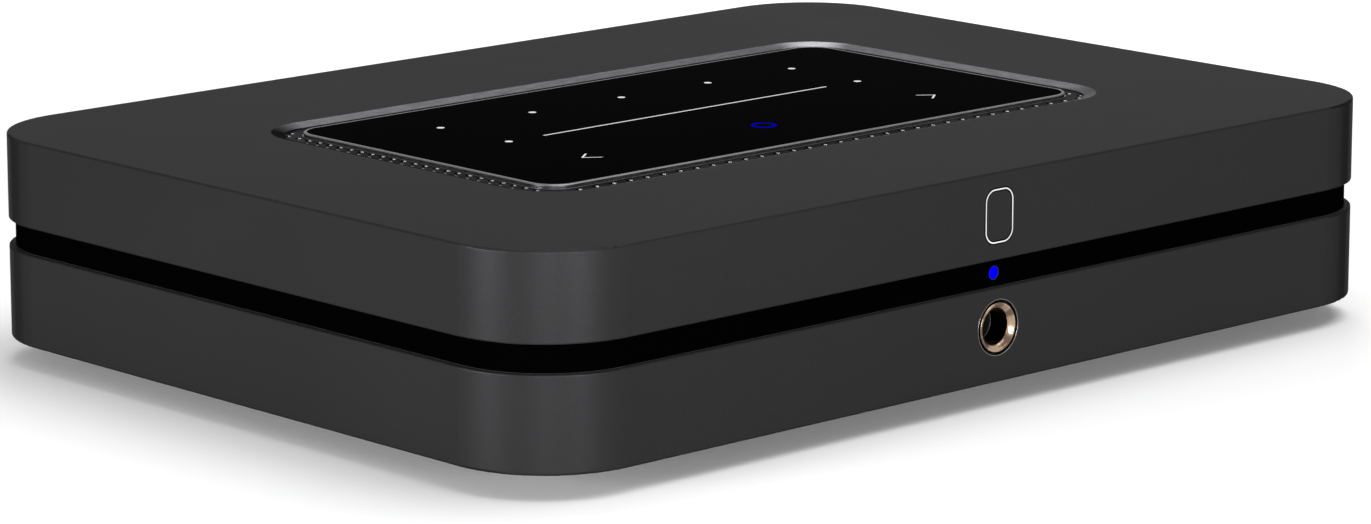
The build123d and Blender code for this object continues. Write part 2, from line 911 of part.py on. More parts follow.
def phono_places():
    middle = main_board_left + phono_place_share * main_board_width
    left, right = middle - phono_pitch_x / 2, middle + phono_pitch_x / 2
    low = board_top + phono_rise
    return [(left, low + phono_pitch_z), (right, low + phono_pitch_z), (left, low), (right, low)]


def power_inlet():
    x, z = inlet_x(), board_top + inlet_height / 2
    body = bar(inlet_width, inlet_height, port_face - inlet_length, port_face, x, z, inlet_edge_radius)
    floor = port_face - inlet_depth
    for side in (-1, 1):
        body -= rod(inlet_lobe_radius, floor, port_face + overrun, x + side * inlet_pin_pitch / 2, z)
    for pin in inlet_pins():
        body -= pin
    return body


def inlet_pins():
    x, z = inlet_x(), board_top + inlet_height / 2
    floor = port_face - inlet_depth
    back = floor + inlet_pin_length
    return [rod(inlet_pin_radius, floor - wall, back, x + side * inlet_pin_pitch / 2, z) for side in (-1, 1)]


def power_inlet_pins():
    return group([fillet(pin.faces().sort_by(Axis.Y)[-1].edges(), inlet_pin_radius / 2)
                  for pin in inlet_pins()])


def network_socket():
    x = main_board_left + network_place_share * main_board_width
    front = port_face - network_length
    body = bar(network_width, network_height, front, port_face, x, board_top + network_height / 2)
    mouth = board_top + network_mouth_rise
    floor = port_face - network_depth
    body -= bar(network_mouth_width, network_mouth_height, floor, port_face + overrun, x,
                mouth + network_mouth_height / 2)
    return body - bar(network_latch_width, 2 * network_latch_height, floor, port_face + overrun, x, mouth)


def network_contacts():
    """Eight contact wires along the roof of the network socket."""
    x = main_board_left + network_place_share * main_board_width
    roof = board_top + network_mouth_rise + network_mouth_height
    front = port_face - network_depth
    first = x - (network_contact_count - 1) / 2 * network_contact_pitch
    return group([bar(network_contact_width, network_contact_height, front, front + network_contact_length,
                      first + index * network_contact_pitch, roof - network_contact_height / 2)
                  for index in range(network_contact_count)])


def usb_shell():
    x = main_board_left + usb_place_share * main_board_width
    z = board_top + usb_height / 2
    front, sheets = port_face - usb_length, 2 * shell_sheet
    body = bar(usb_width, usb_height, front, port_face, x, z, shell_sheet)
    return body - bar(usb_width - sheets, usb_height - sheets, front - overrun, port_face + overrun, x, z)


def hdmi_outline(inset):
    """The outline of the HDMI socket, with its two lower corners cut off."""
    width, height = hdmi_width - 2 * inset, hdmi_height - 2 * inset
    outline = Rectangle(width, height)
    return chamfer(outline.vertices().group_by(Axis.Y)[0], hdmi_chamfer)


def hdmi_bar(inset, front, back):
    x = main_board_left + hdmi_place_share * main_board_width
    z = board_top + hdmi_height / 2
    return Pos(x, back, z) * Rot(90, 0, 0) * extrude(hdmi_outline(inset), back - front)


def hdmi_shell():
    front = port_face - hdmi_length
    return hdmi_bar(0, front, port_face) - hdmi_bar(shell_sheet, front - overrun, port_face + overrun)


def port_tongues():
    """The insulated tongues of the USB and HDMI sockets, each on the base that fills its shell's back."""
    gap = 2 * tongue_side_gap
    back = port_face - tongue_setback
    usb_x = main_board_left + usb_place_share * main_board_width
    usb_front, sheets = port_face - usb_length, 2 * shell_sheet
    usb_z = board_top + usb_height / 2
    usb = bar(usb_width - sheets, usb_height - sheets, usb_front, usb_front + tongue_base, usb_x, usb_z)
    usb += bar(usb_width - sheets - gap, tongue_thickness, usb_front, back, usb_x,
               usb_z + tongue_thickness / 2)
    hdmi_x = main_board_left + hdmi_place_share * main_board_width
    hdmi_front = port_face - hdmi_length
    hdmi = hdmi_bar(shell_sheet, hdmi_front, hdmi_front + tongue_base)
    hdmi += bar(hdmi_width - 2 * hdmi_chamfer - gap, tongue_thickness, hdmi_front, back, hdmi_x,
                board_top + hdmi_height / 2)
    return group([usb, hdmi])


def mouth_base():
    """The height of the lower edge of the optical output's mouth."""
    return board_top + optical_mouth_rise


def mouth_middle():
    return mouth_base() + optical_mouth / 2


def shutter_pin_y():
    return port_face - optical_frame - shutter_gap - shutter_knuckle_radius


def shutter_pin_z():
    return mouth_base() + optical_mouth + shutter_gap + shutter_knuckle_radius


def optical_socket():
    """A housing whose hollow is wider than its mouth, so that the shutter rests behind the mouth's frame."""
    x, front = optical_x(), port_face - optical_length
    hollow_front, hollow_back = port_face - optical_depth, port_face - optical_frame
    body = bar(optical_width, optical_height, front, port_face, x, board_top + optical_height / 2,
               optical_frame / 2)
    body -= bar(optical_mouth, optical_mouth, hollow_back - overrun, port_face + overrun, x, mouth_middle())
    body -= block(optical_mouth + 2 * shutter_overlap, hollow_back - hollow_front,
                  mouth_base() - shutter_overlap, mouth_base() + optical_mouth + optical_ceiling, x,
                  (hollow_front + hollow_back) / 2)
    body -= optical_cross_rod(shutter_pin_radius, optical_width / 2)
    return body - rod(emitter_radius, front - overrun, hollow_front + overrun, x, mouth_middle())


def optical_cross_rod(radius, reach):
    """A rod along the shutter's hinge axis, as far to each side as its reach."""
    x = optical_x()
    return cross_rod(radius, x - reach, x + reach, shutter_pin_y(), shutter_pin_z())


def optical_emitter():
    front = port_face - optical_length
    back = port_face - optical_depth + emitter_length
    return rod(emitter_radius, front, back, optical_x(), mouth_middle())


def shutter_pin():
    return optical_cross_rod(shutter_pin_radius, optical_width / 2)


def knuckle_reach():
    """Half the length of the shutter's knuckle."""
    return optical_mouth * shutter_knuckle_share / 2


def optical_shutter():
    """The flap that hangs behind the mouth from its knuckle on the pin."""
    x = optical_x()
    flap_back = shutter_pin_y() + shutter_knuckle_radius
    low = mouth_base() - shutter_overlap + shutter_gap
    width = optical_mouth + 2 * (shutter_overlap - shutter_gap)
    flap = block(width, shutter_thickness, low, shutter_pin_z(), x, flap_back - shutter_thickness / 2)
    notch_low = shutter_pin_z() - shutter_knuckle_radius - shutter_gap
    for side in (-1, 1):
        middle = x + side * (knuckle_reach() + optical_width / 2)
        flap -= block(optical_width, optical_width, notch_low, shutter_pin_z() + overrun, middle, flap_back)
    flap += optical_cross_rod(shutter_knuckle_radius, knuckle_reach())
    return flap - optical_cross_rod(shutter_pin_radius + shutter_pin_clearance, optical_width)


def shutter_spring():
    """A small closing spring coiled round the pin beside the knuckle."""
    start = optical_x() + knuckle_reach() + shutter_gap + spring_wire_radius
    path = Helix(spring_pitch, spring_pitch * spring_turns, spring_coil_radius)
    coil = sweep(Plane(origin=path @ 0, z_dir=path % 0) * Circle(spring_wire_radius), path, is_frenet=True)
    return Pos(start, shutter_pin_y(), shutter_pin_z()) * Rot(0, 90, 0) * coil


def minijack_bodies():
    shapes = []
    z = board_top + minijack_height / 2
    for x in minijack_places():
        body = bar(minijack_width, minijack_height, panel_inner - minijack_length, panel_inner, x, z)
        body += rod(minijack_nose_radius, panel_inner - minijack_length, port_face, x, z)
        shapes.append(body - rod(minijack_radius, port_face - minijack_bore_length, port_face + overrun, x, z))
    return group(shapes)


def phono_block():
    """One moulded block with a collar through the panel for each of the four sockets."""
    front = panel_inner - phono_block_depth
    face = panel_outer + phono_collar_proud
    top = board_top + 2 * phono_rise + phono_pitch_z
    middle = main_board_left + phono_place_share * main_board_width
    body = block(phono_block_width, phono_block_depth, board_top, top, middle, (front + panel_inner) / 2)
    shank = phono_sleeve_radius - phono_shank_step
    for x, z in phono_places():
        body += rod(phono_collar_radius, front, face, x, z)
        body -= rod(shank, face - phono_shank_length, face + overrun, x, z)
    return body


def phono_metal():
    """The outer sleeve and the centre contact of each phono socket."""
    face = panel_outer + phono_collar_proud
    tip, root = face + phono_sleeve_length, face - phono_shank_length
    inner = phono_sleeve_radius - phono_sleeve_wall
    shapes = []
    for x, z in phono_places():
        sleeve = rod(phono_sleeve_radius, face, tip, x, z)
        sleeve += rod(phono_sleeve_radius - phono_shank_step, root, face + fit, x, z)
        shapes.append(sleeve - rod(inner, root - overrun, tip + overrun, x, z))
        contact = rod(phono_contact_radius, root, tip - phono_insulator_setback, x, z)
        shapes.append(contact - rod(phono_contact_bore, root + wall, tip + overrun, x, z))
    return group(shapes)


def phono_insulator(place):
    face = panel_outer + phono_collar_proud
    tip, root = face + phono_sleeve_length - phono_insulator_setback, face - phono_shank_length
    x, z = place
    body = rod(phono_sleeve_radius - phono_sleeve_wall, root, tip, x, z)
    return body - rod(phono_contact_radius, root - overrun, tip + overrun, x, z)


def board(left, width, front, back, places):
    """A circuit board with a hole for each of its screws."""
    shape = block(width, back - front, board_level, board_top, left + width / 2, (front + back) / 2)
    for x, y in places:
        shape -= post(screw_radius, board_level - overrun, board_top + overrun, x, y)
    return shape


def main_board():
    places = [on_main_board(shares) for shares in main_board_post_shares]
    return board(main_board_left, main_board_width, main_board_front, main_board_back, places)


def power_board():
    places = [on_power_board(shares) for shares in power_board_post_shares]
    return board(power_board_left, power_board_width, power_board_front, power_board_back, places)


def fins(count, width, depth, thickness, low, high, x, y):
    """Evenly spaced upright fins across a width."""
    step = (width - thickness) / (count - 1)
    first = x - (width - thickness) / 2
    return [block(thickness, depth, low, high, first + index * step, y) for index in range(count)]


def processor_heat_sink():
    x, y = on_main_board(processor_place_shares)
    low = board_top + processor_height
    sink = block(sink_size, sink_size, low, low + sink_base, x, y)
    return sink + fins(sink_fins, sink_size, sink_size, sink_fin, low, low + sink_height, x, y)


def board_chips():
    """The processor under its heat sink, the memory and the audio chips."""
    shapes = [block(processor_size, processor_size, board_top, board_top + processor_height,
                    *on_main_board(processor_place_shares))]
    for shares in memory_place_shares:
        shapes.append(block(memory_width, memory_depth, board_top, board_top + chip_height,
                            *on_main_board(shares)))
    for shares in audio_chip_place_shares:
        shapes.append(block(audio_chip_size, audio_chip_size, board_top, board_top + chip_height,
                            *on_main_board(shares)))
    return group(shapes)


def capacitor(radius, height, place):
    """A can with a rounded top rim, standing on a board."""
    can = post(radius, board_top, board_top + height, *place)
    return fillet(can.faces().sort_by(Axis.Z)[-1].edges(), capacitor_edge_radius)


def audio_capacitors():
    return group([capacitor(audio_capacitor_radius, audio_capacitor_height,
                            on_main_board((share, audio_capacitor_row_share)))
                  for share in audio_capacitor_place_shares])


def wireless_module():
    x, y = on_main_board(wireless_place_shares)
    return block(wireless_width, wireless_depth, board_top, board_top + wireless_height, x, y)


def antenna_places():
    """The inner face that each antenna is stuck to, and its place along that face."""
    side_x = body_width / 2 - band_inner
    front_y = front_face + band_inner
    return side_x, antenna_side_share * body_depth, front_y, antenna_front_share * body_width / 2


def wireless_antennas():
    side_x, side_y, front_y, front_x = antenna_places()
    low, high = band_middle - antenna_height / 2, band_middle + antenna_height / 2
    side = block(antenna_thickness, antenna_length, low, high, side_x - antenna_thickness / 2, side_y)
    front = block(antenna_length, antenna_thickness, low, high, front_x, front_y + antenna_thickness / 2)
    return group([side, front])


def lead(points):
    """A round cable along straight runs joined by arcs."""
    path = FilletPolyline(*points, radius=lead_bend)
    return sweep(Plane(origin=path @ 0, z_dir=path % 0) * Circle(lead_radius), path)


def antenna_leads():
    """One thin lead from each antenna down to the top of the wireless module."""
    side_x, side_y, front_y, front_x = antenna_places()
    module_x, module_y = on_main_board(wireless_place_shares)
    module_top = board_top + wireless_height
    turn = module_top + lead_drop
    level = band_middle
    start_x = side_x - antenna_thickness
    land_x = module_x + wireless_width / 4
    side = lead([(start_x, side_y, level), (start_x - lead_run, side_y, level), (land_x, side_y, turn),
                 (land_x, side_y, module_top)])
    start_y = front_y + antenna_thickness
    land_y = module_y - wireless_depth / 4
    front = lead([(front_x, start_y, level), (front_x, start_y + lead_run, level),
                  (front_x, land_y, turn), (front_x, land_y, module_top)])
    return group([side, front])


def power_plug_places():
    """The power connector on each large board, in line with each other."""
    x, y = on_power_board(power_plug_place_shares)
    return (x, y), (main_board_left + main_plug_place_share * main_board_width, y)


def board_connectors():
    """Connectors for the power cable, the headphone ribbon and the touch cable."""
    shapes = [block(plug_width, plug_depth, board_top, board_top + plug_height, x, y)
              for x, y in power_plug_places()]
    down = main_board_front + connector_edge_gap + connector_depth / 2
    shapes.append(block(connector_width, connector_depth, board_top, board_top + connector_height, 0, down))
    shapes.append(block(connector_width, connector_depth, headphone_board_top,
                        headphone_board_top + connector_height, 0, headphone_connector_y()))
    shapes.append(block(connector_width, connector_depth, board_top, board_top + connector_height,
                        *on_main_board(flex_connector_place_shares)))
    return group(shapes)


def power_cable():
    """Four wires that arch from the power supply board to the main board."""
    (left, y), (right, _) = power_plug_places()
    low = board_top + plug_height
    high = low + wire_rise
    first = y - (wire_count - 1) / 2 * wire_pitch
    shapes = []
    for index in range(wire_count):
        place = first + index * wire_pitch
        path = FilletPolyline((left, place, low), (left, place, high), (right, place, high),
                              (right, place, low), radius=wire_bend)
        shapes.append(sweep(Plane(origin=path @ 0, z_dir=path % 0) * Circle(wire_radius), path))
    return group(shapes)


def transformer():
    """A winding between two halves of a core, on a moulded base."""
    x, y = on_power_board(transformer_place_shares)
    base_top = board_top + transformer_base_height
    top = board_top + transformer_height
    shape = block(transformer_width, transformer_depth, board_top, base_top, x, y)
    shape += block(transformer_width, transformer_core_depth, base_top - fit, top, x, y)
    inset = 2 * transformer_inset
    return shape + block(transformer_width - inset, transformer_depth - inset / 2, base_top - fit,
                         top - transformer_inset, x, y, transformer_inset)


def mains_capacitor():
    return capacitor(mains_capacitor_radius, mains_capacitor_height,
                     on_power_board(mains_capacitor_place_shares))


def output_capacitors():
    return group([capacitor(output_capacitor_radius, output_capacitor_height,
                            on_power_board((share, output_capacitor_row_share)))
                  for share in output_capacitor_place_shares])


def mains_choke():
    """A ring core standing on edge, with its window seen from the side."""
    x, y = on_power_board(choke_place_shares)
    body = block(choke_width, choke_depth, board_top, board_top + choke_height, x, y, choke_window / 2)
    return body - cross_rod(choke_window / 2, x - choke_width, x + choke_width, y,
                            board_top + choke_height / 2)


def mains_fuse():
    """A fuse in its two end caps, on a low base."""
    x, y = on_power_board(fuse_place_shares)
    base_top = board_top + fuse_base_height
    front, back = y - fuse_length / 2, y + fuse_length / 2
    z = base_top + fuse_cap_radius - fit
    shape = block(fuse_base_width, fuse_length, board_top, base_top, x, y)
    shape += rod(fuse_radius, front, back, x, z)
    shape += rod(fuse_cap_radius, front, front + fuse_cap_length, x, z)
    return shape + rod(fuse_cap_radius, back - fuse_cap_length, back, x, z)


def power_heat_sink():
    x, y = on_power_board(power_sink_place_shares)
    low, high = board_top, board_top + power_sink_height
    web = block(power_sink_width, power_sink_web, low, high, x, y)
    return web + fins(power_sink_fins, power_sink_width, power_sink_depth, power_sink_fin, low, high, x, y)


pieces = {
    "upper_casing": upper_casing,
    "lower_casing": lower_casing,
    "base_plate": base_plate,
    "waist_band": waist_band,
    "rubber_feet": rubber_feet,
    "casing_screws": casing_screws,
    "machine_screws": machine_screws,
    "vent_grille": vent_grille,
    "touch_carrier": touch_carrier,
    "carrier_screws": carrier_screws,
    "touch_bezel": touch_bezel,
    "touch_glass": touch_glass,
    "touch_marks": touch_marks,
    "play_ring": play_ring,
    "touch_sensor_board": touch_sensor_board,
    "touch_flex_cable": touch_flex_cable,
    "badge_frame": badge_frame,
    "status_light_pipe": status_light_pipe,
    "status_led": status_led,
    "headphone_trim_ring": headphone_trim_ring,
    "headphone_ferrule": headphone_ferrule,
    "headphone_jack": headphone_jack,
    "socket_contacts": lambda: group([*headphone_contacts().solids(), *network_contacts().solids()]),
    "headphone_board": headphone_board,
    "headphone_ribbon": headphone_ribbon,
    "panel_blocks": panel_blocks,
    "rear_panel": rear_panel,
    "rear_frame": rear_frame,
    "power_inlet": power_inlet,
    "power_inlet_pins": power_inlet_pins,
    "network_socket": network_socket,
    "usb_shell": usb_shell,
    "hdmi_shell": hdmi_shell,
    "port_tongues": port_tongues,
    "optical_socket": optical_socket,
    "optical_emitter": optical_emitter,
    "optical_shutter": optical_shutter,
    "shutter_pin": shutter_pin,
    "shutter_spring": shutter_spring,
    "minijack_bodies": minijack_bodies,
    "phono_block": phono_block,
    "phono_metal": phono_metal,
    "phono_insulator_left": lambda: phono_insulator(phono_places()[0]),
    "phono_insulator_right": lambda: phono_insulator(phono_places()[1]),
    "phono_insulators_lower": lambda: group([phono_insulator(place) for place in phono_places()[2:]]),
    "main_board": main_board,
    "heat_sinks": lambda: group([processor_heat_sink(), power_heat_sink()]),
    "board_chips": board_chips,
    "audio_capacitors": audio_capacitors,
    "wireless_module": wireless_module,
    "wireless_antennas": wireless_antennas,
    "antenna_leads": antenna_leads,
    "board_connectors": board_connectors,
    "power_board": power_board,
    "transformer": transformer,
    "mains_capacitor": mains_capacitor,
    "mains_choke": mains_choke,
    "mains_fuse": mains_fuse,
    "output_capacitors": output_capacitors,
    "power_cable": power_cable,
}

os.makedirs("parts", exist_ok=True)
for node, make in pieces.items():
    export_step(make(), f"parts/{node}.step")
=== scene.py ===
"""Dresses the network music streamer: finishes, small lathed and printed details, studio light and camera.

Metres, +Z up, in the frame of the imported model. The front faces -Y.
"""

import math

import bpy
from bpy.props import FloatProperty, FloatVectorProperty, IntProperty, PointerProperty
from bpy.types import Operator, Panel, PropertyGroup
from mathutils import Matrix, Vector


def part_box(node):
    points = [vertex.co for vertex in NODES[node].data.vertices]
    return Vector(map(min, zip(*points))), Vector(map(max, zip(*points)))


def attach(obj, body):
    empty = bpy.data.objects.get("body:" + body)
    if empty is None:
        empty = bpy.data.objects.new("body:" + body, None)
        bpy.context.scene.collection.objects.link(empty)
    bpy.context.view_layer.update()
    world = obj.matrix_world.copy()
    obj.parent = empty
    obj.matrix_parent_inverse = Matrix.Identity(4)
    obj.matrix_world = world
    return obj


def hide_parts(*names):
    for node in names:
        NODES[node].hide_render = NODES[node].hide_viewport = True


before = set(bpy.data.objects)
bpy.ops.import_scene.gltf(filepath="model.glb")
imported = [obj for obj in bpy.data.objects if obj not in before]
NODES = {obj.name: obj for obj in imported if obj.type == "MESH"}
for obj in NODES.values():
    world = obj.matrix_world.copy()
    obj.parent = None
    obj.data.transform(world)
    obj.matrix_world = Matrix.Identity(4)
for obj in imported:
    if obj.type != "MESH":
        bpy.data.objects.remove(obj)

bl_info = {
    "name": "Network music streamer",
    "version": (1, 0, 0),
    "blender": (4, 5, 0),
    "location": "View3D > Sidebar > Streamer",
    "description": "Finishes the streamer's pieces and sets up its studio",
    "category": "Object",
}

MM = 0.001
SHARP_ANGLE = math.radians(35)
ARC_STEPS = 3
NUMBER, VECTOR = "NodeSocketFloat", "NodeSocketVector"
GREEN_MASK, GREEN_TRACKS = (0.010, 0.075, 0.028), (0.03, 0.16, 0.06)
BADGE_CORNER, BADGE_LINE = 2.375 * MM, 0.35 * MM
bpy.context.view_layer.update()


# Shader building blocks


def feed(tree, socket, value):
    """Gives a socket a link or a constant. A constant colour of three parts gets its alpha here."""
    if isinstance(value, bpy.types.NodeSocket):
        tree.links.new(value, socket)
    elif socket.type == "RGBA":
        socket.default_value = (*value[:3], 1.0)
    else:
        socket.default_value = value


def add(tree, kind, inputs=None, **settings):
    """Adds a shader node, with its settings and the values or links of its inputs."""
    node = tree.nodes.new(kind)
    for key, value in settings.items():
        setattr(node, key, value)
    for name, value in (inputs or {}).items():
        feed(tree, node.inputs[name], value)
    return node


def calculate(tree, operation, first, second=0.0):
    """The output of a Math node."""
    return add(tree, "ShaderNodeMath", {0: first, 1: second}, operation=operation).outputs[0]


def combine(tree, operation, first, second=(0.0, 0.0, 0.0)):
    """The vector that a Vector Math node puts out."""
    return add(tree, "ShaderNodeVectorMath", {0: first, 1: second}, operation=operation).outputs[0]


def product(tree, first, *others):
    """Several values multiplied."""
    for other in others:
        first = calculate(tree, "MULTIPLY", first, other)
    return first


def distance(tree, value, middle=0.0):
    """How far a value lies from a middle, either way."""
    return calculate(tree, "ABSOLUTE", calculate(tree, "SUBTRACT", value, middle))


def within(tree, value, middle, reach):
    """One where a value lies nearer to a middle than a reach, and zero elsewhere."""
    return calculate(tree, "LESS_THAN", distance(tree, value, middle), reach)


def vary(tree, value, contrast, level=1.0):
    """A factor that swings round a level with a value from zero to one."""
    return calculate(tree, "ADD", product(tree, value, contrast), level - contrast / 2)


def scaled(tree, colour, factor):
    """A colour made brighter or darker."""
    return add(tree, "ShaderNodeVectorMath", {0: colour, 3: factor}, operation="SCALE").outputs[0]


def blend(tree, factor, first, second):
    """A value between two values."""
    return add(tree, "ShaderNodeMix", {0: factor, 2: first, 3: second}).outputs[0]


def length_of(tree, vector):
    """How long a vector is."""
    return add(tree, "ShaderNodeVectorMath", {0: vector}, operation="LENGTH").outputs["Value"]


def remap(tree, value, low, high, new_low=0.0, new_high=1.0):
    """A value taken from one range to another, clamped."""
    inputs = {"Value": value, "From Min": low, "From Max": high, "To Min": new_low, "To Max": new_high}
    return add(tree, "ShaderNodeMapRange", inputs).outputs["Result"]


def mix_colour(tree, factor, first, second):
    """A colour between two colours."""
    return add(tree, "ShaderNodeMix", {0: factor, 6: first, 7: second}, data_type="RGBA").outputs[2]


def position(tree):
    """Where a point lies in the frame, in metres."""
    return add(tree, "ShaderNodeTexCoord").outputs["Object"]


def axes(tree, vector):
    """The three parts of a vector."""
    return add(tree, "ShaderNodeSeparateXYZ", {0: vector}).outputs


def facing(tree):
    """The three parts of the surface's normal."""
    return axes(tree, add(tree, "ShaderNodeNewGeometry").outputs["Normal"])


def shader_group(name, inputs, outputs):
    """The shader node group of a name, with its inner sockets where it is new and has to be filled."""
    if name in bpy.data.node_groups:
        return bpy.data.node_groups[name], None, None
    group = bpy.data.node_groups.new(name, "ShaderNodeTree")
    for label, (kind, default) in inputs.items():
        socket = group.interface.new_socket(name=label, in_out="INPUT", socket_type=kind)
        socket.default_value = default
    for label, kind in outputs.items():
        group.interface.new_socket(name=label, in_out="OUTPUT", socket_type=kind)
    start = group.nodes.new("NodeGroupInput")
    end = group.nodes.new("NodeGroupOutput")
    return group, start.outputs, end.inputs


def fine_grain_group():
    """The tiny peaks of a blasted, moulded or powder coated surface, with a slow drift over it."""
    group, given, out = shader_group(
        "Fine grain",
        {"Grain size": (NUMBER, 0.3 * MM), "Drift size": (NUMBER, 40 * MM)},
        {"Grain": NUMBER, "Drift": NUMBER},
    )
    if given:
        place = position(group)
        for label, low, high in (("Grain", 0.3, 0.7), ("Drift", 0.35, 0.65)):
            scale = calculate(group, "DIVIDE", 1.0, given[f"{label} size"])
            noise = add(group, "ShaderNodeTexNoise", {"Vector": place, "Scale": scale, "Detail": 2.0})
            group.links.new(remap(group, noise.outputs["Fac"], low, high), out[label])
    return group


def grained(tree, grain, drift):
    """The grain and the drift of a surface, with the size of each."""
    return use_group(tree, fine_grain_group(), grain_size=grain, drift_size=drift)


def brushed_group():
    """Hair lines that run along one axis: the stretch along it is small and across it large."""
    group, given, out = shader_group("Brushed lines", {"Stretch": (VECTOR, (20.0, 4000.0, 4000.0))},
                                     {"Lines": NUMBER})
    if given:
        place = combine(group, "MULTIPLY", position(group), given["Stretch"])
        lines = add(group, "ShaderNodeTexNoise", {"Vector": place, "Scale": 1.0, "Detail": 3.0})
        group.links.new(remap(group, lines.outputs["Fac"], 0.3, 0.7), out["Lines"])
    return group


def turned_group():
    """The fine rings that a lathe leaves round an axis along Y, and where a point lies round that axis."""
    group, given, out = shader_group(
        "Turned rings",
        {"Centre": (VECTOR, (0.0, 0.0, 0.0)), "Ring pitch": (NUMBER, 0.12 * MM)},
        {"Rings": NUMBER, "Around": VECTOR},
    )
    if given:
        apart = combine(group, "SUBTRACT", position(group), given["Centre"])
        flat = combine(group, "MULTIPLY", apart, (1.0, 0.0, 1.0))
        steps = calculate(group, "DIVIDE", length_of(group, flat), given["Ring pitch"])
        noise = {"W": steps, "Scale": 1.0, "Detail": 1.0}
        rings = add(group, "ShaderNodeTexNoise", noise, noise_dimensions="1D")
        group.links.new(remap(group, rings.outputs["Fac"], 0.3, 0.7), out["Rings"])
        group.links.new(combine(group, "NORMALIZE", flat), out["Around"])
    return group


def edge_group():
    """A mask of the outer edges, and a normal that rounds them, from the shape alone."""
    group, given, out = shader_group("Soft edges", {"Edge width": (NUMBER, 0.2 * MM)},
                                     {"Edge": NUMBER, "Normal": VECTOR})
    if given:
        rounded = add(group, "ShaderNodeBevel", {"Radius": given["Edge width"]}, samples=6)
        sharp = add(group, "ShaderNodeNewGeometry")
        inputs = {0: rounded.outputs[0], 1: sharp.outputs["Normal"]}
        same = add(group, "ShaderNodeVectorMath", inputs, operation="DOT_PRODUCT").outputs["Value"]
        group.links.new(remap(group, same, 0.99, 0.85), out["Edge"])
        group.links.new(rounded.outputs[0], out["Normal"])
    return group


def use_group(tree, group, **inputs):
    """A group placed in a tree, with inputs named in words joined by underscores."""
    node = tree.nodes.new("ShaderNodeGroup")
    node.node_tree = group
    for name, value in inputs.items():
        feed(tree, node.inputs[name.replace("_", " ").capitalize()], value)
    return node.outputs


def new_material(name, **constants):
    """A material with its tree and its Principled shader, whose constant sockets are set by name."""
    material = bpy.data.materials.new(name)
    material.use_nodes = True
    tree = material.node_tree
    shader = tree.nodes["Principled BSDF"]
    for label, value in constants.items():
        feed(tree, shader.inputs[label.replace("_", " ")], value)
    return material, tree, shader


def bump(tree, height, depth, strength, normal=None):
    """The normal that a height over the surface gives, over another normal where there is one."""
    inputs = {"Height": height, "Distance": depth, "Strength": strength}
    if normal is not None:
        inputs["Normal"] = normal
    return add(tree, "ShaderNodeBump", inputs).outputs[0]


def colour_of(tree, shader, colour):
    tree.links.new(colour, shader.inputs["Base Color"])


def roughness_of(tree, shader, value, low, high):
    """Takes the roughness from low to high with a value from zero to one."""
    tree.links.new(remap(tree, value, 0.0, 1.0, low, high), shader.inputs["Roughness"])


def normal_of(tree, shader, normal):
    tree.links.new(normal, shader.inputs["Normal"])


def paint(material, *nodes):
    """Gives CAD nodes a material."""
    for name in nodes:
        node = NODES[name]
        if not node.material_slots:
            node.data.materials.append(material)
        for slot in node.material_slots:
            slot.material = material


# Finishes that several pieces share


def grey(level):
    """A neutral colour."""
    return level, level, level


def moulded(name, colour, roughness=0.45, grain=0.25 * MM, depth=0.01 * MM, specular=0.5, contrast=0.12):
    """Moulded plastic or rubber with a fine grain and slightly paler edges."""
    material, tree, shader = new_material(name, Specular_IOR_Level=specular)
    marks = grained(tree, grain, 30 * MM)
    edge = use_group(tree, edge_group(), edge_width=0.15 * MM)
    base = scaled(tree, colour, vary(tree, marks["Grain"], contrast))
    tone, pale = product(tree, edge["Edge"], 0.15), grey(0.5)
    colour_of(tree, shader, mix_colour(tree, tone, base, pale))
    roughness_of(tree, shader, marks["Drift"], roughness - 0.04, roughness + 0.05)
    normal_of(tree, shader, bump(tree, marks["Grain"], depth, 0.6, edge["Normal"]))
    return material


def metal(name, colour, roughness=0.3, stretch=(30.0, 4000.0, 4000.0), edge_gain=0.3, rim=1.0):
    """Brushed or plated metal with hair lines and brighter edges. A rim below one keeps it dark edge on."""
    material, tree, shader = new_material(name, Metallic=1.0, Specular_Tint=grey(rim))
    lines = use_group(tree, brushed_group(), stretch=stretch)["Lines"]
    edge = use_group(tree, edge_group(), edge_width=0.12 * MM)
    base = scaled(tree, colour, vary(tree, lines, 0.18))
    bright = [min(1.0, part * 1.5 + 0.1) for part in colour]
    colour_of(tree, shader, mix_colour(tree, product(tree, edge["Edge"], edge_gain), base, bright))
    roughness_of(tree, shader, lines, roughness - 0.06, roughness + 0.08)
    normal_of(tree, shader, bump(tree, lines, 0.004 * MM, 0.5, edge["Normal"]))
    return material


def turned_metal(name, colour, centre, roughness, reflection_shade=0.0):
    """Metal lathed about an axis along Y, with fine rings and with painted dark reflections round it."""
    material, tree, shader = new_material(name, Metallic=1.0)
    turned = use_group(tree, turned_group(), centre=centre, ring_pitch=0.12 * MM)
    edge = use_group(tree, edge_group(), edge_width=0.1 * MM)
    # Painted reflection: noise round the axis darkens the colour in patches, standing in for dark
    # reflections.
    reflection_noise = add(tree, "ShaderNodeTexNoise", {"Vector": turned["Around"], "Scale": 1.6, "Detail": 2.0})
    tone = remap(tree, reflection_noise.outputs["Fac"], 0.42, 0.55, 1.0 - reflection_shade, 1.0)
    shade = product(tree, vary(tree, turned["Rings"], 0.25, level=0.975), tone)
    colour_of(tree, shader, scaled(tree, colour, shade))
    roughness_of(tree, shader, turned["Rings"], roughness - 0.05, roughness + 0.1)
    normal_of(tree, shader, bump(tree, turned["Rings"], 0.006 * MM, 0.5, edge["Normal"]))
    return material


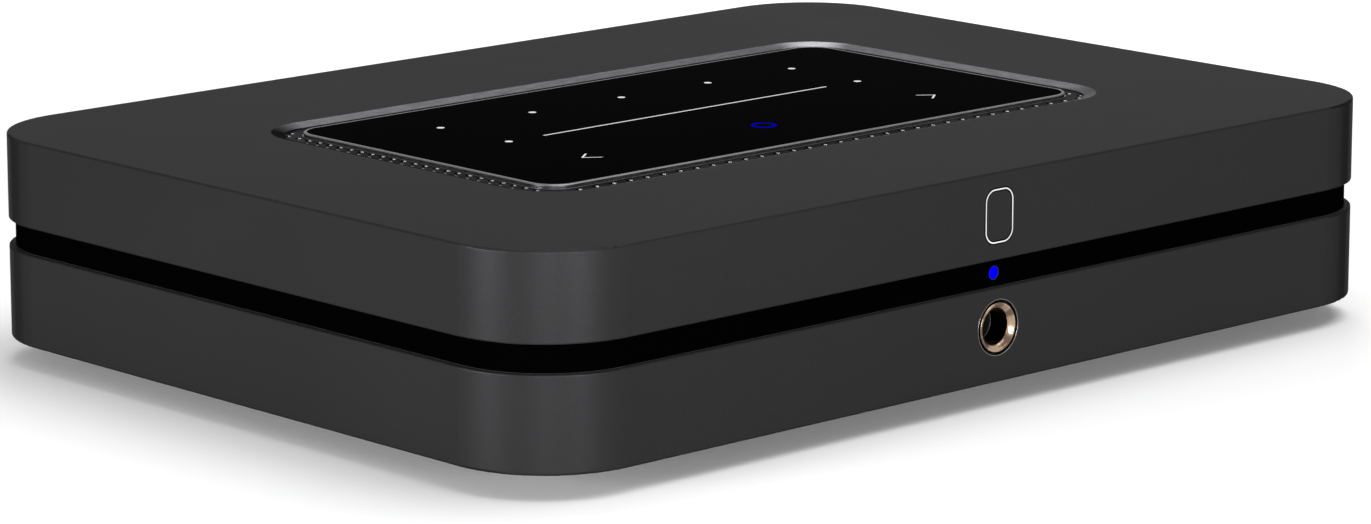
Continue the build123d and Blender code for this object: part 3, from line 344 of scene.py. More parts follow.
def circuit(name, colour, trace, pitch=1.6 * MM):
    """A circuit board: solder mask over tracks and pads, with bare board at its cut edges."""
    material, tree, shader = new_material(name, Specular_IOR_Level=0.5)
    pad_metal, bare_board = (0.70, 0.66, 0.55), (0.30, 0.26, 0.12)
    place = position(tree)
    blocks = {"Vector": place, "Scale": 1 / (8 * pitch), "Brick Width": 1.6, "Row Height": 0.34}
    tracks = add(tree, "ShaderNodeTexBrick", blocks | {"Mortar Size": 0.03}).outputs["Fac"]
    cells = add(tree, "ShaderNodeTexVoronoi", {"Vector": place, "Scale": 1 / (3 * pitch)})
    pads = remap(tree, cells.outputs["Distance"], 0.14, 0.1)
    face = remap(tree, distance(tree, facing(tree)["Z"]), 0.6, 0.8)
    mask = mix_colour(tree, pads, mix_colour(tree, tracks, colour, trace), pad_metal)
    colour_of(tree, shader, mix_colour(tree, face, bare_board, mask))
    roughness_of(tree, shader, tracks, 0.35, 0.28)
    normal_of(tree, shader, bump(tree, tracks, 0.03 * MM, 0.4))
    return material


def striped(name, first, second, pitch, axis, share=0.3, depth=0.1 * MM):
    """Stripes across an axis, as in a flat cable or a winding."""
    material, tree, shader = new_material(name)
    part = calculate(tree, "FRACT", calculate(tree, "DIVIDE", axes(tree, position(tree))[axis], pitch))
    wave = distance(tree, part, 0.5)
    start, soft = 0.5 - share / 2, 0.05
    stripe = remap(tree, wave, start - soft, start + soft)
    grain = grained(tree, 0.2 * MM, 20 * MM)
    colour_of(tree, shader, mix_colour(tree, stripe, first, second))
    roughness_of(tree, shader, grain["Grain"], 0.35, 0.45)
    normal_of(tree, shader, bump(tree, wave, depth, 0.7))
    return material


# Meshes


def new_piece(name, vertices, faces, body, slot, material, smooth=True):
    """A mesh piece that rides on a body and takes the given material. The slot argument is not used."""
    mesh = bpy.data.meshes.new(name)
    mesh.from_pydata([tuple(point) for point in vertices], [], faces)
    mesh.validate()
    mesh.update()
    if smooth:
        mesh.shade_smooth()
        mesh.set_sharp_from_angle(angle=SHARP_ANGLE)
    mesh.materials.append(material)
    piece = bpy.data.objects.new(name, mesh)
    bpy.context.scene.collection.objects.link(piece)
    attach(piece, body)
    return piece


def lathe(profile, centre, direction, steps):
    """The vertices and faces of a closed profile of radius and height, turned about a direction."""
    turn = Vector((0, 0, 1)).rotation_difference(Vector(direction)).to_matrix()
    vertices, faces, count = [], [], len(profile)
    for step in range(steps):
        angle = 2 * math.pi * step / steps
        here, there = step * count, (step + 1) % steps * count
        for index, (radius, height) in enumerate(profile):
            point = Vector((radius * math.cos(angle), radius * math.sin(angle), height))
            vertices.append(Vector(centre) + turn @ point)
            other = (index + 1) % count
            faces.append((here + index, there + index, there + other, here + other))
    return vertices, faces


def merge(parts):
    """Joins several lists of vertices and faces."""
    vertices, faces = [], []
    for more_vertices, more_faces in parts:
        start = len(vertices)
        vertices += more_vertices
        faces += [tuple(start + index for index in face) for face in more_faces]
    return vertices, faces


def rounded(points, radius):
    """A closed profile with each corner cut by a small arc."""
    out = []
    for index, corner in enumerate(points):
        corner = Vector(corner)
        before = Vector(points[index - 1]) - corner
        after = Vector(points[(index + 1) % len(points)]) - corner
        reach = min(radius, before.length / 2.5, after.length / 2.5)
        start, end = corner + before.normalized() * reach, corner + after.normalized() * reach
        for step in range(ARC_STEPS + 1):
            share = step / ARC_STEPS
            out.append(start.lerp(corner, share).lerp(corner.lerp(end, share), share))
    return out


def slab(low, high):
    """The vertices and faces of a box between two corners."""
    vertices = [(x, y, z) for z in (low[2], high[2]) for y in (low[1], high[1]) for x in (low[0], high[0])]
    faces = [(0, 2, 3, 1), (4, 5, 7, 6), (0, 1, 5, 4), (2, 6, 7, 3), (0, 4, 6, 2), (1, 3, 7, 5)]
    return vertices, faces


# Properties


def colour_property(name, description, default):
    """A colour that a user can change."""
    return FloatVectorProperty(name=name, description=description, subtype="COLOR", size=3, default=default)


def share_property(name, description, default):
    """A share from zero to one that a user can change."""
    return FloatProperty(name=name, description=description, subtype="FACTOR", min=0.0, max=1.0,
                         default=default)


def length_property(name, description, default):
    """A length that a user can change."""
    return FloatProperty(name=name, description=description, subtype="DISTANCE", unit="LENGTH", precision=6,
                         default=default)


def angle_property(name, description, degrees):
    """An angle that a user can change."""
    return FloatProperty(name=name, description=description, subtype="ANGLE", default=math.radians(degrees))


class StreamerFinish(PropertyGroup):
    """Colours and textures of the streamer."""

    casing_colour: colour_property("Casing colour", "Anodised dye of both casings", (0.036, 0.036, 0.0375))
    casing_roughness: share_property("Casing roughness", "How dull the casings are", 0.35)
    casing_sheen: share_property("Casing sheen", "Share of metal that shows through the dye", 0.5)
    casing_grain: length_property("Casing grain", "Size of the blasted grain on the casings", 0.22 * MM)
    # Painted shade: this share darkens the colour of the casing walls beside that of the top.
    wall_shade: share_property("Wall shade", "Depth of the dye on the walls beside that on the top", 0.66)
    machined_colour: colour_property("Machined colour", "Cut metal round the recess", (0.13, 0.13, 0.135))
    band_colour: colour_property("Band colour", "Waist band between the casings", grey(0.0005))
    glass_colour: colour_property("Glass colour", "Black printed behind the touch glass", grey(0.0002))
    light_colour: colour_property("Light colour", "Play mark and status light", (0.0, 0.0, 1.0))
    mark_colour: colour_property("Mark colour", "White marks on the glass", grey(0.85))
    gold_colour: colour_property("Gold colour", "Plated contacts and phono sockets", (0.62, 0.44, 0.27))
    ring_colour: colour_property("Ring colour", "Worn gold of the headphone socket", (0.44, 0.31, 0.22))
    trim_colour: colour_property("Trim colour", "Thin ring round the gold one", (0.16, 0.15, 0.14))
    panel_colour: colour_property("Panel colour", "Powder coat of the rear panel", (0.012, 0.012, 0.0125))
    print_colour: colour_property("Print colour", "Marks printed on the rear panel", grey(0.62))


class StreamerDetail(PropertyGroup):
    """Sizes of the small details."""

    lathe_steps: IntProperty(name="Lathe steps", description="Facets round each lathed piece",
                             min=24, max=256, default=96)
    edge_round: length_property("Edge round", "Radius on the edges of lathed pieces", 0.18 * MM)
    foot_groove: length_property("Foot groove", "Depth of the grip rings under each foot", 0.5 * MM)
    foot_groove_width: length_property("Foot groove width", "Width of a grip ring at its mouth", 1.2 * MM)
    foot_chamfer: length_property("Foot chamfer", "Breadth of the slope round each foot", 1.2 * MM)
    socket_bore: length_property("Socket bore", "Radius that stays clear for the headphone plug", 3.2 * MM)
    trim_width: length_property("Trim width", "Width of the thin ring round the gold one", 0.2 * MM)
    print_line: length_property("Print line", "Width of the lines printed on the rear panel", 0.35 * MM)
    print_film: length_property("Print film", "Thickness of the printed marks", 0.03 * MM)
    bracket_gap: length_property("Bracket gap", "From a socket up to its printed bracket", 1.6 * MM)
    bracket_tick: length_property("Bracket tick", "Length of a printed bracket's ends", 1.2 * MM)


class StreamerStage(PropertyGroup):
    """The studio: light, floor and camera."""

    camera_turn: angle_property("Camera turn", "Camera's turn about the upright axis", -43.21)
    camera_rise: angle_property("Camera rise", "Camera's angle above the horizon", 11.74)
    camera_distance: length_property("Camera distance", "From the camera to its target", 1.0014)
    target_height: length_property("Target height", "Height of the camera's target", 0.023)
    lens: FloatProperty(name="Lens", description="Focal length", unit="CAMERA", default=139.02)
    shift_across: FloatProperty(name="Shift across", description="Camera shift sideways", default=-0.0045)
    shift_up: FloatProperty(name="Shift up", description="Camera shift upwards", default=-0.0343)
    sky_light: FloatProperty(name="Sky light", description="Strength of the light all round", default=0.30)
    floor_reach: length_property("Floor reach", "From the middle of the floor to its edges", 6.0)
    floor_colour: colour_property("Floor colour", "The floor as the camera sees it", grey(1.0))
    floor_bounce: share_property("Floor bounce", "Share of light that the floor gives the object", 0.30)
    near_glow: FloatProperty(name="Near glow", description="Glow of the floor in its shadows", default=0.02)
    far_glow: FloatProperty(name="Far glow", description="Glow of the floor far from the object", default=0.7)
    shadow_reach: length_property("Shadow reach", "How far from the middle the floor shows shadows", 0.20)


# Materials of the outer pieces


def casing_material(finish):
    """Blasted and anodised aluminium, with bare machined metal on the slope round the touch panel."""
    tint, rim_shade_colour, groove_shade_colour, cut_roughness = grey(0.33), grey(0.006), grey(0.001), 0.28
    material, tree, shader = new_material("anodised_casing", Specular_IOR_Level=0.0, Specular_Tint=tint)
    marks = grained(tree, finish.casing_grain, 60 * MM)
    edge = use_group(tree, edge_group(), edge_width=0.25 * MM)
    normal, cut = facing(tree), machined_mask(tree)
    # Painted shade: the walls are darker than the top, and darker still on the rounded edge between them and
    # the top.
    wall = remap(tree, normal["Z"], 0.9, 0.1, 1.0, finish.wall_shade)
    shade = product(tree, vary(tree, marks["Grain"], 0.14), vary(tree, marks["Drift"], 0.05), wall)
    rim = product(tree, remap(tree, normal["Z"], 0.05, 0.3), remap(tree, normal["Z"], 0.98, 0.8), 0.5)
    dyed = mix_colour(tree, rim, scaled(tree, finish.casing_colour, shade), rim_shade_colour)
    # Painted shade in the groove round the badge.
    dyed = mix_colour(tree, groove_shade_mask(tree), dyed, groove_shade_colour)
    # Painted highlight and shade on the bare slope: its colour is bright where it faces left, brightest in
    # the corner where it faces the front too, and dark where it faces right.
    lines = use_group(tree, brushed_group(), stretch=(300.0, 300.0, 9000.0))["Lines"]
    turned_away = remap(tree, normal["X"], -0.02, 0.16, 1.0, 0.05)
    corner = remap(tree, product(tree, normal["X"], normal["Y"]), 0.006, 0.028, 1.0, 1.9)
    gloss = product(tree, remap(tree, lines, 0.0, 1.0, 0.8, 1.1), turned_away, corner)
    colour_of(tree, shader, mix_colour(tree, cut, dyed, scaled(tree, finish.machined_colour, gloss)))
    level = finish.casing_roughness
    dull = remap(tree, marks["Drift"], 0.0, 1.0, level - 0.03, level + 0.04)
    tree.links.new(blend(tree, cut, dull, cut_roughness), shader.inputs["Roughness"])
    bare = blend(tree, cut, finish.casing_sheen, product(tree, turned_away, 0.9))
    tree.links.new(bare, shader.inputs["Metallic"])
    normal_of(tree, shader, bump(tree, marks["Grain"], 0.012 * MM, 0.5, edge["Normal"]))
    return material


def groove_shade_mask(tree):
    """One in the groove round the badge, where shade is painted, and zero elsewhere."""
    low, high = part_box("badge_frame")
    middle, half = (low + high) / 2, (high - low) / 2
    margin, skin = 0.3 * MM, 0.02 * MM
    x, y, z = axes(tree, position(tree))
    return product(
        tree,
        within(tree, x, 0.0, half.x + margin),
        within(tree, z, middle.z, half.z + margin),
        calculate(tree, "GREATER_THAN", y, low.y + skin),
        calculate(tree, "LESS_THAN", y, high.y + margin),
    )


def machined_mask(tree):
    """One on the slope between the top face and the vent strip, and zero elsewhere."""
    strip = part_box("vent_grille")[1]
    ledge, lip = 0.1 * MM, 3 * MM
    x, y, z = axes(tree, position(tree))
    return product(
        tree,
        within(tree, x, 0.0, strip.x + lip),
        within(tree, y, 0.0, strip.y + lip),
        calculate(tree, "GREATER_THAN", z, strip.z + ledge),
        calculate(tree, "LESS_THAN", facing(tree)["Z"], 0.995),
    )


def glass_material(finish):
    """Polished black glass, coated against reflections, with faint wipe marks in its gloss."""
    material, tree, shader = new_material("black_glass", Specular_IOR_Level=0.02, IOR=1.02)
    smears = grained(tree, 4 * MM, 50 * MM)
    colour_of(tree, shader, scaled(tree, finish.glass_colour, vary(tree, smears["Drift"], 0.4)))
    roughness_of(tree, shader, smears["Grain"], 0.05, 0.09)
    return material


def vent_material():
    """Dark perforated metal; the walls of its holes carry a painted glint on one side and painted shade on
    the other.
    """
    material, tree, shader = new_material("vent_metal", Specular_IOR_Level=0.0, Specular_Tint=grey(0.3))
    dark, pale = (0.042, 0.042, 0.044), (0.056, 0.056, 0.058)
    # black is the painted shade and bare the painted glint of the hole walls.
    black, bare = grey(0.001), grey(0.9)
    marks = grained(tree, 0.8 * MM, 20 * MM)
    normal = facing(tree)
    # The holes' walls stand upright: those that face left get a painted glint, the others painted shade.
    wall = remap(tree, distance(tree, normal["Z"]), 0.7, 0.4)
    hole = mix_colour(tree, remap(tree, normal["X"], -0.6, -0.85), black, bare)
    face = mix_colour(tree, marks["Grain"], dark, pale)
    colour_of(tree, shader, mix_colour(tree, wall, face, hole))
    tree.links.new(calculate(tree, "SUBTRACT", 1.0, wall), shader.inputs["Metallic"])
    roughness_of(tree, shader, marks["Drift"], 0.36, 0.46)
    return material


def badge_material():
    """A polished line with painted shade along its edges, found by its distance from the frame's rounded
    outline.
    """
    material, tree, shader = new_material("polished_badge", Metallic=1.0, Specular_Tint=grey(0.2))
    dull, polished, black = (0.75, 0.75, 0.76), (0.95, 0.95, 0.97), grey(0.002)
    marks = grained(tree, 0.5 * MM, 6 * MM)
    low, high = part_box("badge_frame")
    place = axes(tree, combine(tree, "SUBTRACT", position(tree), (low + high) / 2))
    past = {}
    for axis in (0, 2):
        reach = (high - low)[axis] / 2 - BADGE_CORNER
        beyond = calculate(tree, "SUBTRACT", distance(tree, place[axis]), reach)
        past[axis] = calculate(tree, "MAXIMUM", beyond)
    radius = length_of(tree, add(tree, "ShaderNodeCombineXYZ", past).outputs[0])
    apart = distance(tree, radius, BADGE_CORNER - BADGE_LINE / 2)
    # Painted shade: the line turns black along its edges, where the groove beside it lies in shade.
    edge = remap(tree, apart, BADGE_LINE * 0.28, BADGE_LINE * 0.4)
    bright = mix_colour(tree, marks["Drift"], dull, polished)
    colour_of(tree, shader, mix_colour(tree, edge, bright, black))
    roughness_of(tree, shader, marks["Grain"], 0.1, 0.18)
    return material


def lit_material(name, colour, strength):
    """A lit mark, a little uneven in its brightness."""
    material, tree, shader = new_material(name, Specular_IOR_Level=0.0, Emission_Strength=strength)
    grain = grained(tree, 0.3 * MM, 10 * MM)["Grain"]
    glow = scaled(tree, colour, remap(tree, grain, 0.0, 1.0, 0.93, 1.0))
    colour_of(tree, shader, scaled(tree, glow, 0.25))
    tree.links.new(glow, shader.inputs["Emission Color"])
    roughness_of(tree, shader, grain, 0.4, 0.5)
    return material


# Materials of the inner pieces


def can_material(name, colour):
    """A capacitor's printed sleeve with a pale stripe, and its bare top."""
    material, tree, shader = new_material(name)
    print_colour, bare = (0.45, 0.45, 0.46), (0.62, 0.62, 0.63)
    normal = facing(tree)
    stripe = calculate(tree, "GREATER_THAN", normal["X"], 0.93)
    top = calculate(tree, "GREATER_THAN", normal["Z"], 0.8)
    grain = grained(tree, 0.3 * MM, 20 * MM)
    colour_of(tree, shader, mix_colour(tree, top, mix_colour(tree, stripe, colour, print_colour), bare))
    tree.links.new(top, shader.inputs["Metallic"])
    roughness_of(tree, shader, grain["Grain"], 0.26, 0.36)
    return material


def transformer_material():
    """Tape round a winding, with a dark ferrite core across its middle and a dark base."""
    material, tree, shader = new_material("transformer_finish")
    tape, base_colour = (0.60, 0.42, 0.04), grey(0.012)
    ferrite, pale_ferrite = (0.020, 0.020, 0.021), (0.032, 0.031, 0.030)
    low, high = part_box("transformer")
    place = axes(tree, position(tree))
    core = within(tree, place["Y"], (low.y + high.y) / 2, (high.y - low.y) * 0.215)
    base = calculate(tree, "LESS_THAN", place["Z"], low.z + 3 * MM)
    part = calculate(tree, "FRACT", calculate(tree, "DIVIDE", place["Z"], 2.4 * MM))
    wrap = remap(tree, distance(tree, part, 0.5), 0.44, 0.48)
    grain = grained(tree, 0.4 * MM, 20 * MM)
    taped = mix_colour(tree, wrap, tape, [part * 0.55 for part in tape])
    wound = mix_colour(tree, core, taped, mix_colour(tree, grain["Grain"], ferrite, pale_ferrite))
    colour_of(tree, shader, mix_colour(tree, base, wound, base_colour))
    roughness_of(tree, shader, core, 0.3, 0.6)
    normal_of(tree, shader, bump(tree, wrap, 0.05 * MM, 0.5))
    return material


def fuse_material():
    """A pale ceramic tube between nickel caps, on a dark base."""
    material, tree, shader = new_material("fuse_finish")
    tube_colour, pale_tube = (0.66, 0.63, 0.56), (0.72, 0.69, 0.62)
    cap_colour, base_colour = (0.62, 0.60, 0.56), grey(0.012)
    low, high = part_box("mains_fuse")
    place = axes(tree, position(tree))
    away = distance(tree, place["Y"], (low.y + high.y) / 2)
    cap = calculate(tree, "GREATER_THAN", away, (high.y - low.y) / 4)
    base = calculate(tree, "LESS_THAN", place["Z"], low.z + 1.5 * MM)
    grain = grained(tree, 0.3 * MM, 10 * MM)
    tube = mix_colour(tree, grain["Grain"], tube_colour, pale_tube)
    colour_of(tree, shader, mix_colour(tree, base, mix_colour(tree, cap, tube, cap_colour), base_colour))
    tree.links.new(product(tree, cap, calculate(tree, "SUBTRACT", 1.0, base)), shader.inputs["Metallic"])
    roughness_of(tree, shader, grain["Grain"], 0.3, 0.4)
    return material


# Operators that dress the pieces


class StreamerOperator:
    """What the streamer's operators share."""

    bl_options = {"REGISTER", "UNDO"}

    @property
    def finish(self):
        return bpy.context.scene.streamer_finish

    @property
    def detail(self):
        return bpy.context.scene.streamer_detail

    @property
    def stage(self):
        return bpy.context.scene.streamer_stage


class STREAMER_OT_casings(StreamerOperator, Operator):
    """Finish both casings and the waist band between them"""

    bl_idname = "streamer.casings"
    bl_label = "Casings and band"

    def execute(self, context):
        paint(casing_material(self.finish), "upper_casing", "lower_casing")
        band = moulded("black_band", self.finish.band_colour, roughness=0.6, specular=0.0, contrast=0.2)
        paint(band, "waist_band")
        return {"FINISHED"}


class STREAMER_OT_feet(StreamerOperator, Operator):
    """Build the rubber feet with their grip rings"""

    bl_idname = "streamer.feet"
    bl_label = "Rubber feet"

    def execute(self, context):
        low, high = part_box("rubber_feet")
        radius, detail, slope_top = self.foot_radius(), self.detail, 1.4 * MM
        rubber = moulded("foot_rubber", grey(0.012), roughness=0.75, grain=0.4 * MM, depth=0.03 * MM)
        mouth, bed, groove = detail.foot_groove_width / 2, detail.foot_groove_width / 3, detail.foot_groove
        outline = [(radius, high.z), (radius, slope_top), (radius - detail.foot_chamfer, low.z)]
        for middle in (0.74 * radius, 0.5 * radius):
            outline += [(middle + mouth, low.z), (middle + bed, groove), (middle - bed, groove),
                        (middle - mouth, low.z)]
        profile = [(0.0, high.z), *rounded(outline, detail.edge_round), (0.0, low.z)]
        parts = []
        for x in (low.x + radius, high.x - radius):
            for y in (low.y + radius, high.y - radius):
                parts.append(lathe(profile, (x, y, 0.0), (0, 0, 1), detail.lathe_steps))
        feet = new_piece("feet_detailed", *merge(parts), "housing", "rubber", rubber)
        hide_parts("rubber_feet")
        return {"FINISHED"}

    @staticmethod
    def foot_radius():
        """Half the breadth of the feet on one side."""
        across = [vertex.co.x for vertex in NODES["rubber_feet"].data.vertices if vertex.co.x < 0]
        return (max(across) - min(across)) / 2


class STREAMER_OT_screws(StreamerOperator, Operator):
    """Finish every screw"""

    bl_idname = "streamer.screws"
    bl_label = "Screws"

    def execute(self, context):
        zinc = metal("zinc_screws", (0.22, 0.22, 0.23), roughness=0.34, stretch=(2500.0, 2500.0, 2500.0))
        paint(zinc, "casing_screws", "machine_screws", "carrier_screws", "shutter_pin", "shutter_spring")
        return {"FINISHED"}


class STREAMER_OT_touch_panel(StreamerOperator, Operator):
    """Finish the touch glass, its bezel, its lit marks and what lies under it"""

    bl_idname = "streamer.touch_panel"
    bl_label = "Touch panel"

    def execute(self, context):
        paint(glass_material(self.finish), "touch_glass")
        bezel = metal("brushed_bezel", (0.14, 0.14, 0.145), roughness=0.3, stretch=(400.0, 400.0, 6000.0),
                      edge_gain=0.0, rim=0.6)
        paint(bezel, "touch_bezel")
        paint(lit_material("white_marks", self.finish.mark_colour, 0.75), "touch_marks")
        paint(lit_material("blue_mark", self.finish.light_colour, 0.35), "play_ring")
        paint(circuit("sensor_board", (0.006, 0.007, 0.006), (0.03, 0.025, 0.015)), "touch_sensor_board")
        flex = striped("amber_flex", (0.40, 0.16, 0.03), (0.50, 0.30, 0.12), 1.0 * MM, 0)
        paint(flex, "touch_flex_cable")
        return {"FINISHED"}


class STREAMER_OT_vent(StreamerOperator, Operator):
    """Finish the perforated strip and the frame that carries it"""

    bl_idname = "streamer.vent"
    bl_label = "Vent strip"

    def execute(self, context):
        paint(vent_material(), "vent_grille")
        paint(moulded("carrier_plastic", (0.010, 0.010, 0.011), roughness=0.5), "touch_carrier")
        return {"FINISHED"}


class STREAMER_OT_badge(StreamerOperator, Operator):
    """Finish the plain frame let into the front"""

    bl_idname = "streamer.badge"
    bl_label = "Plain badge"

    def execute(self, context):
        paint(badge_material(), "badge_frame")
        return {"FINISHED"}


class STREAMER_OT_status_light(StreamerOperator, Operator):
    """Finish the status light and its lamp"""

    bl_idname = "streamer.status_light"
    bl_label = "Status light"

    def execute(self, context):
        paint(lit_material("blue_light", self.finish.light_colour, 1.0), "status_light_pipe")
        paint(moulded("lamp_resin", (0.75, 0.75, 0.72), roughness=0.3, contrast=0.05), "status_led")
        return {"FINISHED"}


class STREAMER_OT_headphone_socket(StreamerOperator, Operator):
    """Build the gold ring and the thin trim of the headphone socket, and finish what lies behind them"""

    bl_idname = "streamer.headphone_socket"
    bl_label = "Headphone socket"

    def execute(self, context):
        self.ferrule()
        self.trim()
        paint(moulded("socket_body", grey(0.008), roughness=0.35), "headphone_jack")
        paint(metal("contact_springs", self.finish.gold_colour, roughness=0.25), "socket_contacts")
        paint(circuit("headphone_circuit", GREEN_MASK, GREEN_TRACKS), "headphone_board")
        ribbon = striped("grey_ribbon", (0.33, 0.33, 0.34), (0.16, 0.16, 0.17), 1.27 * MM, 0)
        paint(ribbon, "headphone_ribbon")
        return {"FINISHED"}

    @staticmethod
    def place(node):
        """The outer radius, the length and the front middle of a round piece that lies along Y."""
        low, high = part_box(node)
        return (high.x - low.x) / 2, high.y - low.y, Vector((0.0, low.y, (low.z + high.z) / 2))

    def ferrule(self):
        """The gold ring: a rounded lip, a dished face and a bore that stays clear for the plug."""
        outer, length, middle = self.place("headphone_ferrule")
        bore = self.detail.socket_bore
        outline = [(bore, length), (bore, 0.9 * MM), (bore + 0.25 * MM, 0.5 * MM),
                   (outer - 0.55 * MM, 0.12 * MM), (outer - 0.45 * MM, 0.0), (outer - 0.1 * MM, 0.0),
                   (outer, 0.15 * MM), (outer, length)]
        gold = turned_metal("gold_ferrule", self.finish.ring_colour, middle, roughness=0.14, reflection_shade=0.65)
        shape = lathe(rounded(outline, self.detail.edge_round), middle, (0, 1, 0), self.detail.lathe_steps)
        piece = new_piece("ferrule_turned", *shape, "housing", "gold", gold)
        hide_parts("headphone_ferrule")

    def trim(self):
        """The thin grey ring round the gold one."""
        outer, length, middle = self.place("headphone_trim_ring")
        inner, soft = outer - self.detail.trim_width, 0.1 * MM
        outline = [(inner, length), (inner, 0.0), (outer, 0.0), (outer, length)]
        steel = turned_metal("grey_trim", self.finish.trim_colour, middle, roughness=0.2)
        shape = lathe(rounded(outline, soft), middle, (0, 1, 0), self.detail.lathe_steps)
        piece = new_piece("trim_turned", *shape, "housing", "trim_metal", steel)
        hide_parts("headphone_trim_ring")


class STREAMER_OT_rear_panel(StreamerOperator, Operator):
    """Finish the rear panel and its frame, and print a bracket over each group of sockets"""

    bl_idname = "streamer.rear_panel"
    bl_label = "Rear panel"

    def execute(self, context):
        coat = moulded("powder_coat", self.finish.panel_colour, roughness=0.5, grain=0.5 * MM,
                       depth=0.04 * MM, contrast=0.3)
        paint(coat, "rear_panel", "rear_frame", "base_plate")
        paint(metal("block_zinc", (0.50, 0.50, 0.49), roughness=0.32), "panel_blocks")
        self.brackets()
        return {"FINISHED"}

    def brackets(self):
        """Thin printed brackets that stand in for words. Each has a tick at both ends and a dot over it."""
        detail, face = self.detail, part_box("rear_panel")[1].y
        line, gap, tick = detail.print_line, detail.bracket_gap, detail.bracket_tick
        outer = face + detail.print_film
        ink = moulded("pale_ink", self.finish.print_colour, roughness=0.6, specular=0.2, contrast=0.08)
        parts = []
        for group in (("network_socket",), ("hdmi_shell", "usb_shell"), ("optical_socket",),
                      ("minijack_bodies",), ("power_inlet",)):
            boxes = [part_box(node) for node in group]
            left, right = min(low.x for low, high in boxes), max(high.x for low, high in boxes)
            level, middle = max(high.z for low, high in boxes) + gap, (left + right) / 2
            for x, far_x, z, far_z in (
                (left, right, level, level + line),
                (left, left + line, level - tick, level),
                (right - line, right, level - tick, level),
                (middle - line, middle + line, level + tick, level + tick + 2 * line),
            ):
                parts.append(slab((x, face, z), (far_x, outer, far_z)))
        new_piece("printed_brackets", *merge(parts), "housing", "marks_white", ink, smooth=False)


class STREAMER_OT_power_inlet(StreamerOperator, Operator):
    """Finish the mains inlet and its pins"""

    bl_idname = "streamer.power_inlet"
    bl_label = "Mains inlet"

    def execute(self, context):
        paint(moulded("inlet_plastic", grey(0.010), roughness=0.38), "power_inlet")
        pins = metal("nickel_pins", (0.66, 0.63, 0.58), roughness=0.2, stretch=(3000.0, 60.0, 3000.0))
        paint(pins, "power_inlet_pins")
        return {"FINISHED"}


class STREAMER_OT_data_sockets(StreamerOperator, Operator):
    """Finish the network, USB and HDMI sockets"""

    bl_idname = "streamer.data_sockets"
    bl_label = "Data sockets"

    def execute(self, context):
        paint(moulded("network_plastic", (0.030, 0.030, 0.032), roughness=0.42), "network_socket")
        shell = metal("nickel_shell", (0.58, 0.57, 0.55), roughness=0.26, stretch=(4000.0, 60.0, 4000.0))
        paint(shell, "usb_shell", "hdmi_shell")
        paint(moulded("tongue_plastic", (0.012, 0.012, 0.013), roughness=0.4), "port_tongues")
        return {"FINISHED"}


class STREAMER_OT_optical_output(StreamerOperator, Operator):
    """Finish the optical output and its shutter"""

    bl_idname = "streamer.optical_output"
    bl_label = "Optical output"

    def execute(self, context):
        paint(moulded("optical_plastic", grey(0.012), roughness=0.4), "optical_socket")
        paint(moulded("shutter_plastic", (0.055, 0.055, 0.058), roughness=0.45), "optical_shutter")
        paint(lit_material("red_lamp", (0.9, 0.02, 0.01), 0.8), "optical_emitter")
        return {"FINISHED"}


class STREAMER_OT_minijacks(StreamerOperator, Operator):
    """Finish the small jack sockets"""

    bl_idname = "streamer.minijacks"
    bl_label = "Small jack sockets"

    def execute(self, context):
        paint(moulded("minijack_plastic", grey(0.014), roughness=0.4), "minijack_bodies")
        return {"FINISHED"}


class STREAMER_OT_phono_sockets(StreamerOperator, Operator):
    """Finish the phono sockets"""

    bl_idname = "streamer.phono_sockets"
    bl_label = "Phono sockets"

    def execute(self, context):
        gold = metal("phono_gold", self.finish.gold_colour, roughness=0.2, stretch=(300.0, 9000.0, 300.0))
        paint(gold, "phono_metal")
        paint(moulded("phono_plastic", grey(0.012), roughness=0.42), "phono_block")
        for node, name, colour in (("phono_insulator_left", "white_insulator", (0.72, 0.72, 0.70)),
                                   ("phono_insulator_right", "red_insulator", (0.50, 0.015, 0.015)),
                                   ("phono_insulators_lower", "black_insulator", grey(0.012))):
            paint(moulded(name, colour, roughness=0.35, contrast=0.06), node)
        return {"FINISHED"}


class STREAMER_OT_main_board(StreamerOperator, Operator):
    """Finish the main board and what stands on it"""

    bl_idname = "streamer.main_board"
    bl_label = "Main board"

    def execute(self, context):
        paint(circuit("main_circuit", GREEN_MASK, GREEN_TRACKS), "main_board")
        paint(circuit("antenna_circuit", (0.008, 0.009, 0.008), (0.05, 0.04, 0.02)), "wireless_antennas")
        paint(moulded("chip_resin", (0.013, 0.013, 0.014), roughness=0.55), "board_chips")
        sink = metal("black_sink", (0.03, 0.03, 0.032), roughness=0.42, stretch=(4000.0, 40.0, 4000.0))
        paint(sink, "heat_sinks")
        paint(metal("tinned_shield", (0.55, 0.55, 0.54), roughness=0.3), "wireless_module")
        paint(moulded("lead_sheath", (0.05, 0.05, 0.052), roughness=0.5), "antenna_leads")
        nylon = moulded("connector_nylon", (0.66, 0.64, 0.58), roughness=0.5, contrast=0.06)
        paint(nylon, "board_connectors")
        paint(can_material("audio_can", (0.012, 0.012, 0.03)), "audio_capacitors", "output_capacitors")
        return {"FINISHED"}


class STREAMER_OT_power_board(StreamerOperator, Operator):
    """Finish the power supply board and what stands on it"""

    bl_idname = "streamer.power_board"
    bl_label = "Power supply board"

    def execute(self, context):
        paint(circuit("power_circuit", (0.012, 0.085, 0.030), (0.05, 0.19, 0.08), 2.6 * MM), "power_board")
        paint(transformer_material(), "transformer")
        paint(can_material("mains_can", (0.02, 0.02, 0.022)), "mains_capacitor")
        choke = striped("choke_winding", (0.42, 0.17, 0.07), (0.05, 0.03, 0.02), 1.1 * MM, 2,
                        depth=0.3 * MM)
        paint(choke, "mains_choke")
        paint(fuse_material(), "mains_fuse")
        wires = striped("power_wires", (0.42, 0.02, 0.015), grey(0.015), 3.6 * MM, 1, share=0.5)
        paint(wires, "power_cable")
        return {"FINISHED"}


# Stage


